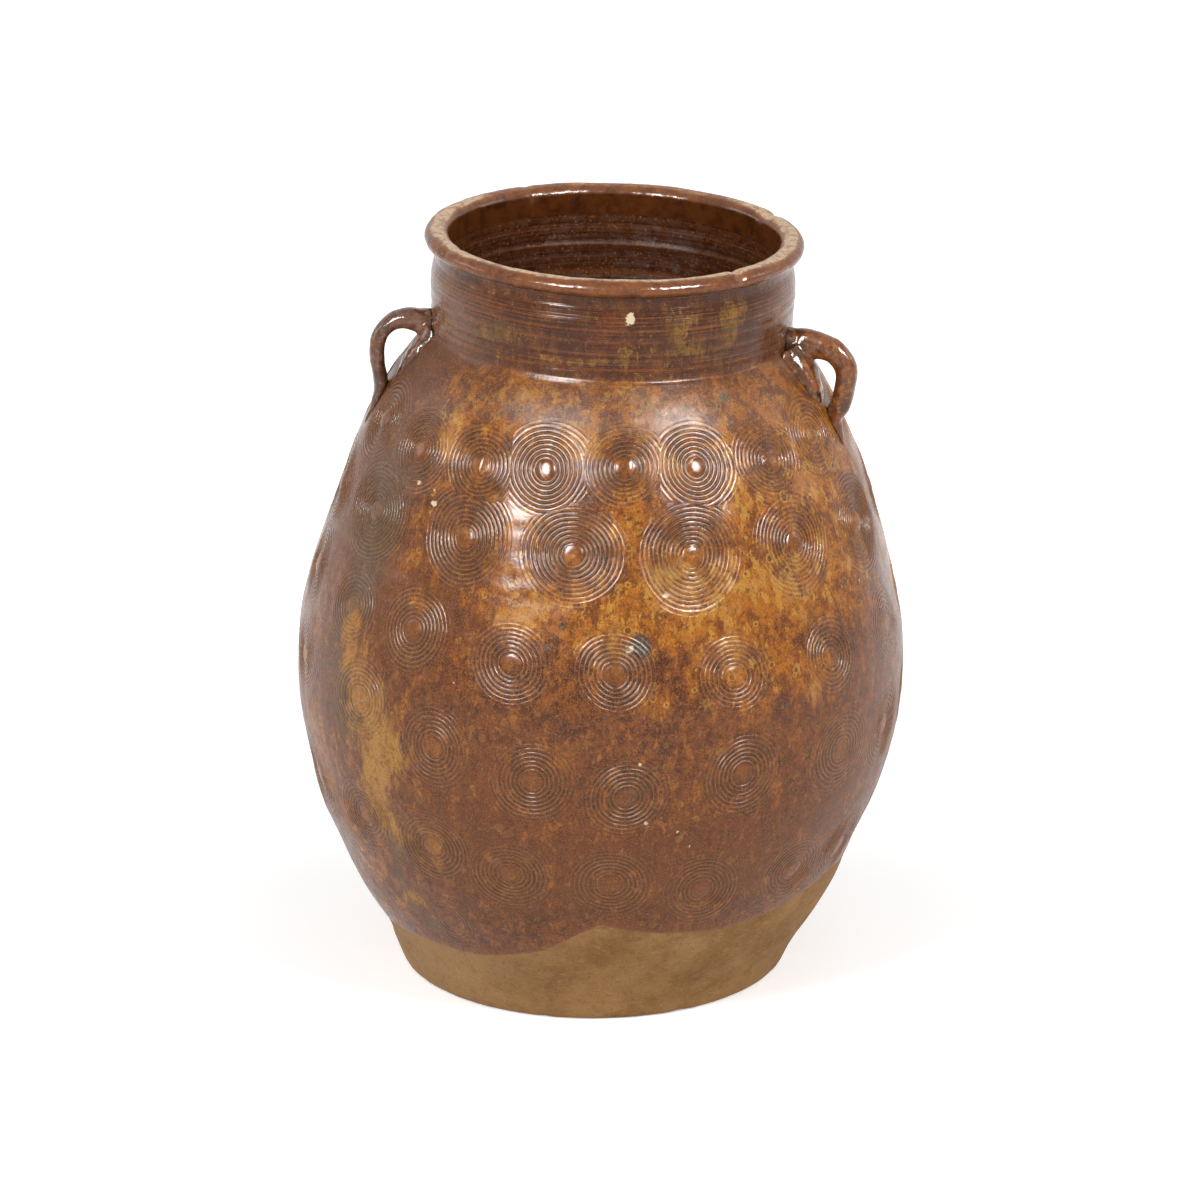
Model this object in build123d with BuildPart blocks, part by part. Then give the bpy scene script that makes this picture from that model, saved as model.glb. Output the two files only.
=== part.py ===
"""Tall stoneware martaban storage jar, thrown in sections and luted together, with two strap loops.

Millimetres, +Z up. The origin is the centre of the foot on the ground, and the front faces -Y.
Heights are measured along the jar's own axis, which leans towards +X because the jar warped in
the kiln. The foot is ground level, square to +Z.
"""

import os
from math import cos, hypot, radians, sin, tan

from build123d import *

# Driving dimensions of the body
FOOT_RADIUS = 127.5
BELLY_RADIUS = 200.5
NECK_RADIUS = 118.5
BELLY_HEIGHT = 205.0
SHOULDER_RISE = 227.5
KILN_LEAN = 1.8
WALL = 12.0
FLOOR = 16.0
FOOT_ROUNDING = 3.0
COVE = 14.0

# The belly section reaches this far below and above the widest girth
BELLY_BELOW = 55.0
BELLY_ABOVE = 80.0

# Neck and rolled rim
NECK_RISE = 48.5
NECK_WALL = 11.0
RIM_OVERHANG = 5.0
RIM_DEPTH = 19.0
RIM_UNDERCUT = 2.0
NECK_WAIST = 1.0

# Strap loops, with a value for each side where the hand made them unlike; the reach is past the
# shoulder's skin where the free loop comes down to it
LOOP_RISE = 13.5
LOOP_DROP = 82.0
STRAP_WIDTH = 15.0
PAD_WIDTH = 17.0
PAD_DEPTH = 10.0
PAD_DROP = 36.0
LEFT_AZIMUTH = 185.0
LEFT_REACH = 13.055
LEFT_STRAP = 10.5
RIGHT_AZIMUTH = -15.0
RIGHT_REACH = 19.055
RIGHT_STRAP = 13.0

# Stamps pressed into the shoulder in two rows, with every third ring of the real ones
HIGH_STAMP_RADIUS = 26.5
LOW_STAMP_RADIUS = 32.0
STAMP_DEPTH = 1.3
RING_HEIGHT = 0.8
RING_COUNT = 3
BOSS_RADIUS = 7.0
BOSS_HEIGHT = 1.3

# How far a cutting shape runs past what it cuts
OVERRUN = 5.0

# Body outline from foot to belly: (share of the rise, share of the swell)
LOWER_OUTLINE_SHARES = [
    (0.10, 0.12),
    (0.195, 0.28),
    (0.34, 0.50),
    (0.51, 0.70),
    (0.68, 0.86),
    (0.85, 0.97),
]
# Body outline from belly to neck: (share of the rise, share of the swell)
UPPER_OUTLINE_SHARES = [
    (0.175, 0.965),
    (0.33, 0.86),
    (0.46, 0.755),
    (0.57, 0.655),
    (0.66, 0.565),
    (0.735, 0.475),
    (0.80, 0.385),
    (0.86, 0.29),
    (0.945, 0.13),
]
# Where up the neck its waist and the swell above it lie
NECK_WAIST_SHARE = 0.25
NECK_SWELL_SHARE = 0.65
# Free loop of a strap: (share of span, share of drop, share of width, share of thickness)
LOOP_SHARES = [
    (-0.15, 0.080, 1.05, 1.00),
    (0.10, 0.068, 1.05, 1.00),
    (0.36, 0.065, 1.00, 0.95),
    (0.62, 0.110, 0.95, 0.95),
    (0.80, 0.210, 0.93, 1.00),
    (0.865, 0.330, 0.93, 1.00),
    (0.84, 0.480, 0.95, 1.00),
    (0.79, 0.610, 0.98, 0.98),
]
# Tail pressed down the shoulder: (share of drop, lift off the skin as a share of the strap's
# thickness, share of width, share of thickness)
TAIL_SHARES = [
    (0.74, 0.16, 0.82, 0.80),
    (0.88, 0.04, 0.50, 0.50),
    (1.00, -0.04, 0.20, 0.22),
]
# Pad pressed on the shoulder under a loop: (share of its drop, share of width, share of depth)
PAD_SHARES = [
    (0.00, 0.80, 0.95),
    (0.22, 0.98, 1.00),
    (0.48, 1.00, 0.95),
    (0.72, 0.84, 0.72),
    (0.90, 0.52, 0.42),
    (1.00, 0.20, 0.16),
]

# Stamps of the upper row: (degrees from the front towards +X, share of the shoulder's rise)
HIGH_STAMP_SHARES = [
    (-71.8, 0.782),
    (-51.5, 0.760),
    (-32.2, 0.769),
    (-15.5, 0.782),
    (3.8, 0.800),
    (21.2, 0.796),
    (42.5, 0.782),
    (60.8, 0.809),
    (89.5, 0.790),
    (111.0, 0.775),
    (132.5, 0.785),
    (154.0, 0.800),
    (175.5, 0.780),
    (197.0, 0.770),
    (218.5, 0.790),
    (240.0, 0.775),
    (261.5, 0.785),
]
# Stamps of the lower row, in the same way
LOW_STAMP_SHARES = [
    (-60.0, 0.563),
    (-31.8, 0.576),
    (-7.2, 0.571),
    (18.2, 0.567),
    (43.8, 0.558),
    (68.0, 0.541),
    (93.8, 0.550),
    (119.6, 0.565),
    (145.3, 0.572),
    (171.1, 0.556),
    (196.9, 0.568),
    (222.7, 0.575),
    (248.4, 0.560),
    (274.2, 0.548),
]
# Domed boss of a stamp: (share of its radius, share of its height)
BOSS_SHARES = [
    (0.0, 1.0),
    (0.55, 0.80),
    (0.90, 0.25),
]
# Steps of halving that place a point on the skin's curve
HALVINGS = 24
# How closely a stamp's face follows the roundness of the wall across it
STAMP_CROWN_SHARE = 0.8

LEAN = radians(KILN_LEAN)
LEAN_X = Vector(cos(LEAN), 0, -sin(LEAN))
LEAN_UP = Vector(sin(LEAN), 0, cos(LEAN))
JAR_AXIS = Axis((0, 0, 0), LEAN_UP)
SECTION_PLANE = Plane(origin=(0, 0, 0), x_dir=LEAN_X, z_dir=(0, -1, 0))
FOOT_SKIRT = FOOT_RADIUS * tan(LEAN) + OVERRUN
LOWER_JOINT_HEIGHT = BELLY_HEIGHT - BELLY_BELOW
UPPER_JOINT_HEIGHT = BELLY_HEIGHT + BELLY_ABOVE
SHOULDER_HEIGHT = BELLY_HEIGHT + SHOULDER_RISE
RIM_SEAT_HEIGHT = SHOULDER_HEIGHT + NECK_RISE
JAR_HEIGHT = RIM_SEAT_HEIGHT + RIM_DEPTH
LOOP_TOP_HEIGHT = SHOULDER_HEIGHT + LOOP_RISE
MOUTH_RADIUS = NECK_RADIUS - NECK_WALL
RIM_RADIUS = NECK_RADIUS + RIM_OVERHANG
RIM_SEAT_RADIUS = NECK_RADIUS - RIM_UNDERCUT
RIM_MIDDLE_HEIGHT = JAR_HEIGHT - RIM_DEPTH / 2
RIM_CREST_RADIUS = (MOUTH_RADIUS + RIM_RADIUS) / 2


def body_skin():
    """Skin of the body as (radius, height), from under the foot up to the neck."""
    swell = BELLY_RADIUS - FOOT_RADIUS
    skin = [
        (FOOT_RADIUS + swell_share * swell, rise_share * BELLY_HEIGHT)
        for rise_share, swell_share in LOWER_OUTLINE_SHARES
    ]
    flare = (skin[0][0] - FOOT_RADIUS) / skin[0][1]
    foot = [(FOOT_RADIUS - FOOT_SKIRT * flare, -FOOT_SKIRT), (FOOT_RADIUS, 0)]
    swell = BELLY_RADIUS - NECK_RADIUS
    upper = [
        (NECK_RADIUS + swell_share * swell, BELLY_HEIGHT + rise_share * SHOULDER_RISE)
        for rise_share, swell_share in UPPER_OUTLINE_SHARES
    ]
    return foot + skin + [(BELLY_RADIUS, BELLY_HEIGHT)] + upper + [(NECK_RADIUS, SHOULDER_HEIGHT)]


def skin_share(height):
    """How far along the curve of the skin a height is reached, by halving."""
    low, high = 0, 1
    for _ in range(HALVINGS):
        middle = (low + high) / 2
        if SKIN_CURVE.position_at(middle).Y < height:
            low = middle
        else:
            high = middle
    return low


def skin_radius(height):
    """Radius of the jar's skin at a height: the curve of the body, or the neck above it."""
    if height >= SHOULDER_HEIGHT:
        return NECK_RADIUS
    return SKIN_CURVE.position_at(skin_share(height)).X


def body_inside():
    """Inside of the body as (radius, height): the skin moved in by the wall, square to it."""
    wall_foot = skin_radius(FLOOR + COVE) - WALL
    inside = [(wall_foot - COVE, FLOOR), (wall_foot, FLOOR + COVE)]
    for before, here, after in zip(SKIN[1:], SKIN[2:], SKIN[3:]):
        run = (after[0] - before[0], after[1] - before[1])
        wall_share = WALL / hypot(*run)
        point = (here[0] - wall_share * run[1], here[1] + wall_share * run[0])
        if point[1] > FLOOR + 2 * COVE:
            inside.append(point)
    return inside + [(MOUTH_RADIUS, SHOULDER_HEIGHT)]


SKIN = body_skin()
SKIN_CURVE = Edge.make_spline([Vector(radius, height) for radius, height in SKIN])
INSIDE = body_inside()
NECK_SKIN = [
    (NECK_RADIUS, SHOULDER_HEIGHT),
    (NECK_RADIUS - NECK_WAIST, SHOULDER_HEIGHT + NECK_WAIST_SHARE * NECK_RISE),
    (NECK_RADIUS, SHOULDER_HEIGHT + NECK_SWELL_SHARE * NECK_RISE),
    (RIM_SEAT_RADIUS, RIM_SEAT_HEIGHT),
]


def thrown_section(low, high):
    """What the body has between two heights: floor and wall below the floor's top, wall above."""
    with BuildPart() as section:
        with BuildSketch(SECTION_PLANE):
            with BuildLine():
                Spline(*SKIN)
                Line(SKIN[-1], INSIDE[-1])
                Spline(*INSIDE[1:])
                Polyline(INSIDE[1], INSIDE[0], (0, FLOOR), (0, -FOOT_SKIRT), SKIN[0])
            make_face()
            with Locations((0, low)):
                Rectangle(BELLY_RADIUS + WALL, high - low, align=Align.MIN, mode=Mode.INTERSECT)
        revolve(axis=JAR_AXIS)
    return section.part


def stamp_cutter(azimuth, rise_share, stamp_radius):
    """What a stamp presses away: a dish with rings round a boss, square to the wall."""
    share = skin_share(BELLY_HEIGHT + rise_share * SHOULDER_RISE)
    place = SKIN_CURVE.position_at(share)
    climb = SKIN_CURVE.tangent_at(share)
    turn = radians(azimuth)
    outward = LEAN_X * sin(turn) - Vector(0, 1, 0) * cos(turn)
    normal = outward * climb.Y - LEAN_UP * climb.X
    centre = outward * place.X + LEAN_UP * place.Y
    crown = STAMP_CROWN_SHARE * climb.Y / (2 * place.X)
    face = [(BOSS_RADIUS * out, BOSS_HEIGHT * up - STAMP_DEPTH) for out, up in BOSS_SHARES]
    pitch = (stamp_radius - BOSS_RADIUS) / RING_COUNT
    for index in range(RING_COUNT):
        trough = BOSS_RADIUS + index * pitch
        for out, lift in ((trough, -RING_HEIGHT / 2), (trough + pitch / 2, RING_HEIGHT / 2)):
            sink = STAMP_DEPTH * (1 - (out / stamp_radius) ** 2)
            face.append((out, lift - sink - crown * out**2))
    face.append((stamp_radius, -crown * stamp_radius**2))
    across = LEAN_UP.cross(outward)
    with BuildPart() as cutter:
        with BuildSketch(Plane(origin=centre, x_dir=across, z_dir=across.cross(normal))):
            with BuildLine():
                Polyline(*face, (stamp_radius, OVERRUN), (0, OVERRUN), face[0])
            make_face()
        revolve(axis=Axis(centre, normal))
    return cutter.part


def solid_envelope():
    """The jar's skin filled solid up to the rim, used to seat the straps on it."""
    with BuildPart() as envelope:
        with BuildSketch(SECTION_PLANE):
            with BuildLine():
                Spline(*SKIN)
                Spline(*NECK_SKIN)
                Polyline(NECK_SKIN[-1], (0, RIM_SEAT_HEIGHT), (0, -FOOT_SKIRT), SKIN[0])
            make_face()
        revolve(axis=JAR_AXIS)
    return envelope.part


def loft_along(strap_plane, stations):
    """Loft of ovals along (radius, height, width, thickness) stations in a plane on the axis."""
    places = [strap_plane.from_local_coords((radius, height)) for radius, height, _, _ in stations]
    with BuildPart() as strap:
        for index, (_, _, width, thickness) in enumerate(stations):
            before = places[max(index - 1, 0)]
            after = places[min(index + 1, len(places) - 1)]
            oval_plane = Plane(origin=places[index], x_dir=strap_plane.z_dir, z_dir=after - before)
            with BuildSketch(oval_plane):
                Ellipse(width / 2, thickness / 2)
        loft()
    return strap.part


def strap_loop(azimuth, reach, thickness):
    """One strap: a pad on the shoulder, a free loop, and a tail pressed down the shoulder."""
    turn = radians(azimuth)
    outward = LEAN_X * cos(turn) + Vector(0, 1, 0) * sin(turn)
    strap_plane = Plane(origin=(0, 0, 0), x_dir=outward, z_dir=outward.cross(LEAN_UP))
    landing_height = LOOP_TOP_HEIGHT - LOOP_SHARES[-1][1] * LOOP_DROP
    span = skin_radius(landing_height) - NECK_RADIUS + reach
    loop = [
        (
            NECK_RADIUS + out * span,
            LOOP_TOP_HEIGHT - down * LOOP_DROP,
            width * STRAP_WIDTH,
            depth * thickness,
        )
        for out, down, width, depth in LOOP_SHARES
    ]
    for down, lift, width, depth in TAIL_SHARES:
        height = LOOP_TOP_HEIGHT - down * LOOP_DROP
        radius = skin_radius(height) + lift * thickness
        loop.append((radius, height, width * STRAP_WIDTH, depth * thickness))
    pad = []
    for down, width, depth in PAD_SHARES:
        height = loop[0][1] - down * PAD_DROP
        pad.append((skin_radius(height), height, width * PAD_WIDTH, depth * PAD_DEPTH))
    with BuildPart() as strap:
        add(loft_along(strap_plane, loop))
        add(loft_along(strap_plane, pad))
        add(solid_envelope(), mode=Mode.SUBTRACT)
    return strap.part


with BuildPart() as floor_disc:
    add(thrown_section(-FOOT_SKIRT, FLOOR))
    split(bisect_by=Plane.XY, keep=Keep.TOP)
    foot_edge = floor_disc.faces().sort_by(Axis.Z)[0].edges()
    fillet(foot_edge, FOOT_ROUNDING)

with BuildPart() as lower_wall:
    add(thrown_section(FLOOR, LOWER_JOINT_HEIGHT))

with BuildPart() as belly_wall:
    add(thrown_section(LOWER_JOINT_HEIGHT, UPPER_JOINT_HEIGHT))

HIGH_STAMPS = [stamp_cutter(*place, HIGH_STAMP_RADIUS) for place in HIGH_STAMP_SHARES]
LOW_STAMPS = [stamp_cutter(*place, LOW_STAMP_RADIUS) for place in LOW_STAMP_SHARES]

with BuildPart() as shoulder_wall:
    add(thrown_section(UPPER_JOINT_HEIGHT, SHOULDER_HEIGHT))
    add(HIGH_STAMPS + LOW_STAMPS, mode=Mode.SUBTRACT)

with BuildPart() as neck_collar:
    with BuildSketch(SECTION_PLANE):
        with BuildLine():
            Spline(*NECK_SKIN)
            Polyline(
                NECK_SKIN[-1],
                (MOUTH_RADIUS, RIM_SEAT_HEIGHT),
                (MOUTH_RADIUS, SHOULDER_HEIGHT),
                NECK_SKIN[0],
            )
        make_face()
    revolve(axis=JAR_AXIS)

with BuildPart() as rolled_rim:
    with BuildSketch(SECTION_PLANE):
        with BuildLine():
            Spline(
                (MOUTH_RADIUS, RIM_MIDDLE_HEIGHT),
                (RIM_CREST_RADIUS, JAR_HEIGHT),
                (RIM_RADIUS, RIM_MIDDLE_HEIGHT),
                tangents=[(0, 1), (1, 0), (0, -1)],
            )
            Spline(
                (RIM_RADIUS, RIM_MIDDLE_HEIGHT),
                (RIM_SEAT_RADIUS, RIM_SEAT_HEIGHT),
                tangents=[(0, -1), (-1, 0)],
            )
            Polyline(
                (RIM_SEAT_RADIUS, RIM_SEAT_HEIGHT),
                (MOUTH_RADIUS, RIM_SEAT_HEIGHT),
                (MOUTH_RADIUS, RIM_MIDDLE_HEIGHT),
            )
        make_face()
    revolve(axis=JAR_AXIS)

with BuildPart() as left_handle:
    add(strap_loop(LEFT_AZIMUTH, LEFT_REACH, LEFT_STRAP))

with BuildPart() as right_handle:
    add(strap_loop(RIGHT_AZIMUTH, RIGHT_REACH, RIGHT_STRAP))

PIECES = {
    "floor_disc": floor_disc,
    "lower_wall": lower_wall,
    "belly_wall": belly_wall,
    "shoulder_wall": shoulder_wall,
    "neck_collar": neck_collar,
    "rolled_rim": rolled_rim,
    "left_handle": left_handle,
    "right_handle": right_handle,
}

os.makedirs("parts", exist_ok=True)
for name, piece in PIECES.items():
    piece.part.label = name
    export_step(piece.part, f"parts/{name}.step")
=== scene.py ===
import math
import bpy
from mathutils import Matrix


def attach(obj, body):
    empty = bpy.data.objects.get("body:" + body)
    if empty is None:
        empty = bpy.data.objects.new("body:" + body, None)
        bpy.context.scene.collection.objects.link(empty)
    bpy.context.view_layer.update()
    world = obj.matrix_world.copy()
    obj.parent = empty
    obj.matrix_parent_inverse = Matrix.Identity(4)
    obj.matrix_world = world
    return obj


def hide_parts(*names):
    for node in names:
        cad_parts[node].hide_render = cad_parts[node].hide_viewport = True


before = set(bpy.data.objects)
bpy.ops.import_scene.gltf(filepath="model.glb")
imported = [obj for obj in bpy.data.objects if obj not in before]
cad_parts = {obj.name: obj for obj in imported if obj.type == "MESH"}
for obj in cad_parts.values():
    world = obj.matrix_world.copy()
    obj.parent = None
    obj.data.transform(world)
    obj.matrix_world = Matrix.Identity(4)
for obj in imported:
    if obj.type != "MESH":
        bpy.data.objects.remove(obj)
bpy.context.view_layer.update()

from types import SimpleNamespace

import bmesh
import bpy
import numpy as np
from mathutils import Vector

# A martaban jar. One hand-worked skin, a grid of rows and columns, is cut into the six turned
# pieces, and two strap handles are swept and fused. Lengths are in millimetres until a mesh is
# written, heights are taken along the leaning axis, and azimuth 0 is the photographed front.

MM_PER_M = 1000.0
LEAN = math.radians(1.8)
LEAN_COS, LEAN_SIN = math.cos(LEAN), math.sin(LEAN)

# Steps of the grid: millimetres along the wall, degrees around the front and around the back
ROW_STEP = 0.95
FRONT_STEP = 0.27
BACK_STEP = 0.36
FRONT_HALF = 105

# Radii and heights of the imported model
FOOT, BELLY, NECK, MOUTH, WALL = 127.5, 200.5, 118.5, 107.5, 12.0
FLOOR_H, LOWER_SEAM, UPPER_SEAM = 16.0, 150.0, 285.0
BELLY_H, NECK_H, SEAT_H = 205.0, 432.5, 481.0
HEEL_H, HEEL_IN = 30.0, 14.0
FOOT_ROUND = 3.0

# Outline of the wall as (share of the rise, share of the swell)
LOWER = [(0.10, 0.12), (0.195, 0.28), (0.34, 0.50), (0.51, 0.70), (0.68, 0.86), (0.85, 0.97)]
UPPER = [
    (0.175, 0.965), (0.33, 0.86), (0.46, 0.755), (0.57, 0.655), (0.66, 0.565),
    (0.735, 0.475), (0.80, 0.385), (0.86, 0.29), (0.945, 0.13),
]
BELOW_FOOT = 9.0

# The rolled lip: its middle, its half width and rise, and the undercut below it
LIP_R, LIP_H, LIP_HALF, LIP_RISE = 115.5, 494.4, 8.0, 5.6
UNDERCUT = [[116.4, 481.0], [116.6, 486.6], [117.2, 488.4]]
UNDER_R, UNDER_OUT, UNDER_DROP = 117.6, 5.9, 5.4
UNDERCUT_H = 488.6

# Seeded noise and small curve tools

HASH_X, HASH_Y, HASH_Z, HASH_SEED = 374761393, 668265263, 1442695041, 1274126177
LOW_32_BITS = 0xFFFFFFFF


def noise3(points, size, seed):
    """Smooth noise between -1 and 1 whose blotches are about size wide."""
    q = points / size + 17.31 * seed
    cell = np.floor(q).astype(np.int64)
    f = q - cell
    f = f * f * (3 - 2 * f)
    total = np.zeros(points.shape[:-1])
    for corner in np.ndindex(2, 2, 2):
        n = (cell[..., 0] + corner[0]) * HASH_X + (cell[..., 1] + corner[1]) * HASH_Y
        n = n + (cell[..., 2] + corner[2]) * HASH_Z + seed * HASH_SEED
        n = ((n ^ (n >> 13)) * HASH_SEED) & LOW_32_BITS
        n = ((n ^ (n >> 16)) * HASH_Y) & LOW_32_BITS
        value = (n >> 8) / float(1 << 23) - 1.0
        for k in range(3):
            value = value * (f[..., k] if corner[k] else 1 - f[..., k])
        total += value
    return total


def smooth(low, high, value):
    t = np.clip((value - low) / (high - low), 0, 1)
    return t * t * (3 - 2 * t)


def bell(distance, width):
    """1 at the middle, falling off over about the width."""
    return np.exp(-((distance / width) ** 2))


def apart(degrees, centre):
    """Angle from the centre, between -180 and 180 degrees."""
    return (degrees - centre + 180) % 360 - 180


def lengths_along(line):
    return np.concatenate([[0], np.cumsum(np.hypot(*np.diff(line, axis=0).T))])


def curve_through(points, samples_each=60):
    """Natural cubic curve through the points, as a dense polyline."""
    p = np.array(points, float)
    n = len(p)
    h = np.diff(lengths_along(p))
    a = np.eye(n)
    b = np.zeros((n, 2))
    for i in range(1, n - 1):
        a[i, i - 1 : i + 2] = h[i - 1], 2 * (h[i - 1] + h[i]), h[i]
        b[i] = 6 * ((p[i + 1] - p[i]) / h[i] - (p[i] - p[i - 1]) / h[i - 1])
    m = np.linalg.solve(a, b)
    u = np.linspace(0, 1, samples_each, endpoint=False)[:, None]
    w = 1 - u
    out = []
    for i in range(n - 1):
        bend = (w**3 - w) * m[i] + (u**3 - u) * m[i + 1]
        out.append(w * p[i] + u * p[i + 1] + h[i] ** 2 / 6 * bend)
    return np.vstack(out + [p[-1:]])


def walk(line, step):
    """Evenly spaced points along a polyline, both ends kept."""
    s = lengths_along(line)
    t = np.linspace(0, s[-1], max(2, int(math.ceil(s[-1] / step)) + 1))
    return np.stack([np.interp(t, s, line[:, 0]), np.interp(t, s, line[:, 1])], 1)


def cut(line, low, high):
    """The part of a rising polyline between two heights, with both ends exact."""
    inside = line[(line[:, 1] > low + 1e-6) & (line[:, 1] < high - 1e-6)]
    ends = [[np.interp(v, line[:, 1], line[:, 0]), v] for v in (low, high)]
    return np.vstack([ends[0], inside, ends[1]])


# Outlines of the jar as (radius, height)


def wall_outline():
    """Outside of the wall from below the foot up to the seat of the rim."""
    lower = [(FOOT + w * (BELLY - FOOT), y * BELLY_H) for y, w in LOWER]
    upper = [(NECK + w * (BELLY - NECK), BELLY_H + y * (NECK_H - BELLY_H)) for y, w in UPPER]
    below = (FOOT - BELOW_FOOT * (lower[0][0] - FOOT) / lower[0][1], -BELOW_FOOT)
    body = [below, (FOOT, 0.0), *lower, (BELLY, BELLY_H), *upper, (NECK, NECK_H)]
    neck = [(NECK, NECK_H), (NECK - 1, NECK_H + 12.1), (NECK, NECK_H + 31.5), (NECK - 2, SEAT_H)]
    return walk(np.vstack([curve_through(body), curve_through(neck)[1:]]), 0.25)


def softened(line, reach=15):
    """The line with its kinks smoothed over reach points each way, and its ends kept."""
    kernel = np.exp(-np.linspace(-2.5, 2.5, 2 * reach + 1) ** 2 / 2)
    kernel /= kernel.sum()
    padded = [np.pad(line[:, k], reach, "reflect", reflect_type="odd") for k in (0, 1)]
    soft = np.stack([np.convolve(column, kernel, "valid") for column in padded], 1)
    soft[0], soft[-1] = line[0], line[-1]
    return soft


def rim_outline():
    """Out from the neck, round the rolled lip and down into the mouth."""
    turn = np.linspace(0, 1, 40)[:, None] * math.pi / 2
    s, c = np.sin(turn), np.cos(turn)
    under = np.hstack([UNDER_R + UNDER_OUT * s, LIP_H - UNDER_DROP * c])
    outside_half = np.hstack([LIP_R + LIP_HALF * c, LIP_H + LIP_RISE * s])
    inside_half = np.hstack([LIP_R - LIP_HALF * s, LIP_H + LIP_RISE * c])
    return np.vstack([UNDERCUT, under, outside_half[1:], inside_half[1:], [[MOUTH, SEAT_H]]])


def hollow_outline(wall):
    """Inside of the wall, one wall thickness in, from the floor up to the neck."""
    tangent = np.gradient(wall, axis=0)
    tangent /= np.hypot(*tangent.T)[:, None]
    inside = wall + WALL * np.stack([-tangent[:, 1], tangent[:, 0]], 1)
    kept = (wall[:, 1] > HEEL_H) & (wall[:, 1] < NECK_H)
    inside = inside[kept & (inside[:, 0] > MOUTH) & (inside[:, 1] > HEEL_H + 4)]
    inside = inside[np.argsort(inside[:, 1])]
    heel = skin_at(HEEL_H) - WALL
    return np.vstack([[[heel - HEEL_IN, FLOOR_H], [heel, HEEL_H]], inside, [[MOUTH, NECK_H]]])


def skin_at(height):
    """Radius of the plain outside at a height."""
    return np.interp(height, outer[:, 1], outer[:, 0])


wall_line = wall_outline()
outer = softened(wall_line)
inner = hollow_outline(wall_line)

# Rows of the whole skin: under the foot, up the outside, over the rim and down the inside

BOTTOM = 6
SKIRT = 20
parts = [
    ("skirt", np.array([[FOOT, 0.0]] * (BOTTOM + SKIRT))),
    ("lower", walk(cut(outer, FLOOR_H, LOWER_SEAM), ROW_STEP)),
    ("belly", walk(cut(outer, LOWER_SEAM, UPPER_SEAM), ROW_STEP)),
    ("shoulder", walk(cut(outer, UPPER_SEAM, NECK_H), ROW_STEP)),
    ("neck", walk(cut(outer, NECK_H, SEAT_H), ROW_STEP)),
    ("rim", walk(rim_outline(), ROW_STEP * 0.85)),
    ("neck_in", walk(np.array([[MOUTH, SEAT_H], [MOUTH, NECK_H]]), ROW_STEP * 1.2)),
    ("shoulder_in", walk(cut(inner, UPPER_SEAM, NECK_H)[::-1], 4.0)),
    ("belly_in", walk(cut(inner, LOWER_SEAM, UPPER_SEAM)[::-1], 5.0)),
    ("lower_in", walk(cut(inner, FLOOR_H, LOWER_SEAM)[::-1], 5.0)),
    ("floor_in", walk(np.array([inner[0], [1.5, FLOOR_H]]), 12.0)),
]
first, last, rows = {}, {}, []
for name, line in parts:
    shared = 0 if name in ("skirt", "lower") else 1
    first[name] = len(rows) - shared
    rows.extend(line[shared:].tolist())
    last[name] = len(rows) - 1
rows = np.array(rows)

front = np.arange(-FRONT_HALF, FRONT_HALF, FRONT_STEP)
back = np.arange(FRONT_HALF, 360 - FRONT_HALF, BACK_STEP)
az = np.radians(np.concatenate([front, back]))
COLS = len(az)
sin_az, cos_az = np.sin(az), np.cos(az)
az_deg = apart(np.degrees(az), 0)
R = np.repeat(rows[:, 0:1], COLS, 1)
H = np.repeat(rows[:, 1:2], COLS, 1)
arc = lengths_along(rows)


def level_skirt():
    """The jar leans but stands on level ground, so the skirt's foot follows the azimuth."""
    low_h = FOOT * sin_az * math.tan(LEAN)
    for k in range(SKIRT):
        t = k / SKIRT
        h = low_h + t * (0.35 + 0.65 * t) * (FLOOR_H - low_h)
        under = np.maximum(0, FOOT_ROUND - (h - low_h) * LEAN_COS)
        rounding = FOOT_ROUND - np.sqrt(np.maximum(0, FOOT_ROUND**2 - under**2))
        R[BOTTOM + k], H[BOTTOM + k] = skin_at(h) - rounding, h


def outward():
    """Direction out of the plain skin at each row, as its radial and axial parts."""
    along = np.gradient(rows, axis=0)
    along[: first["lower"] + 1] = along[first["lower"] + 2]
    length = np.hypot(*along.T)
    return along[:, 1] / length, -along[:, 0] / length


def leaning(x, y, height):
    """A point of the upright jar, moved to where it is on the leaning one."""
    return x * LEAN_COS + height * LEAN_SIN, y, -x * LEAN_SIN + height * LEAN_COS


def to_world(radius, height):
    return np.stack(leaning(radius * sin_az, -radius * cos_az, height), -1)


level_skirt()
out_r, out_h = outward()
P0 = to_world(R, H)
outside = np.zeros(len(rows))
outside[first["lower"] : last["neck"] + 1] = 1
row_h = rows[:, 1].copy()
row_h[: BOTTOM + SKIRT] = 4.0

# Stamps: rows of (azimuth, height) at the front and the back, with each row's radius and depth

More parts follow.
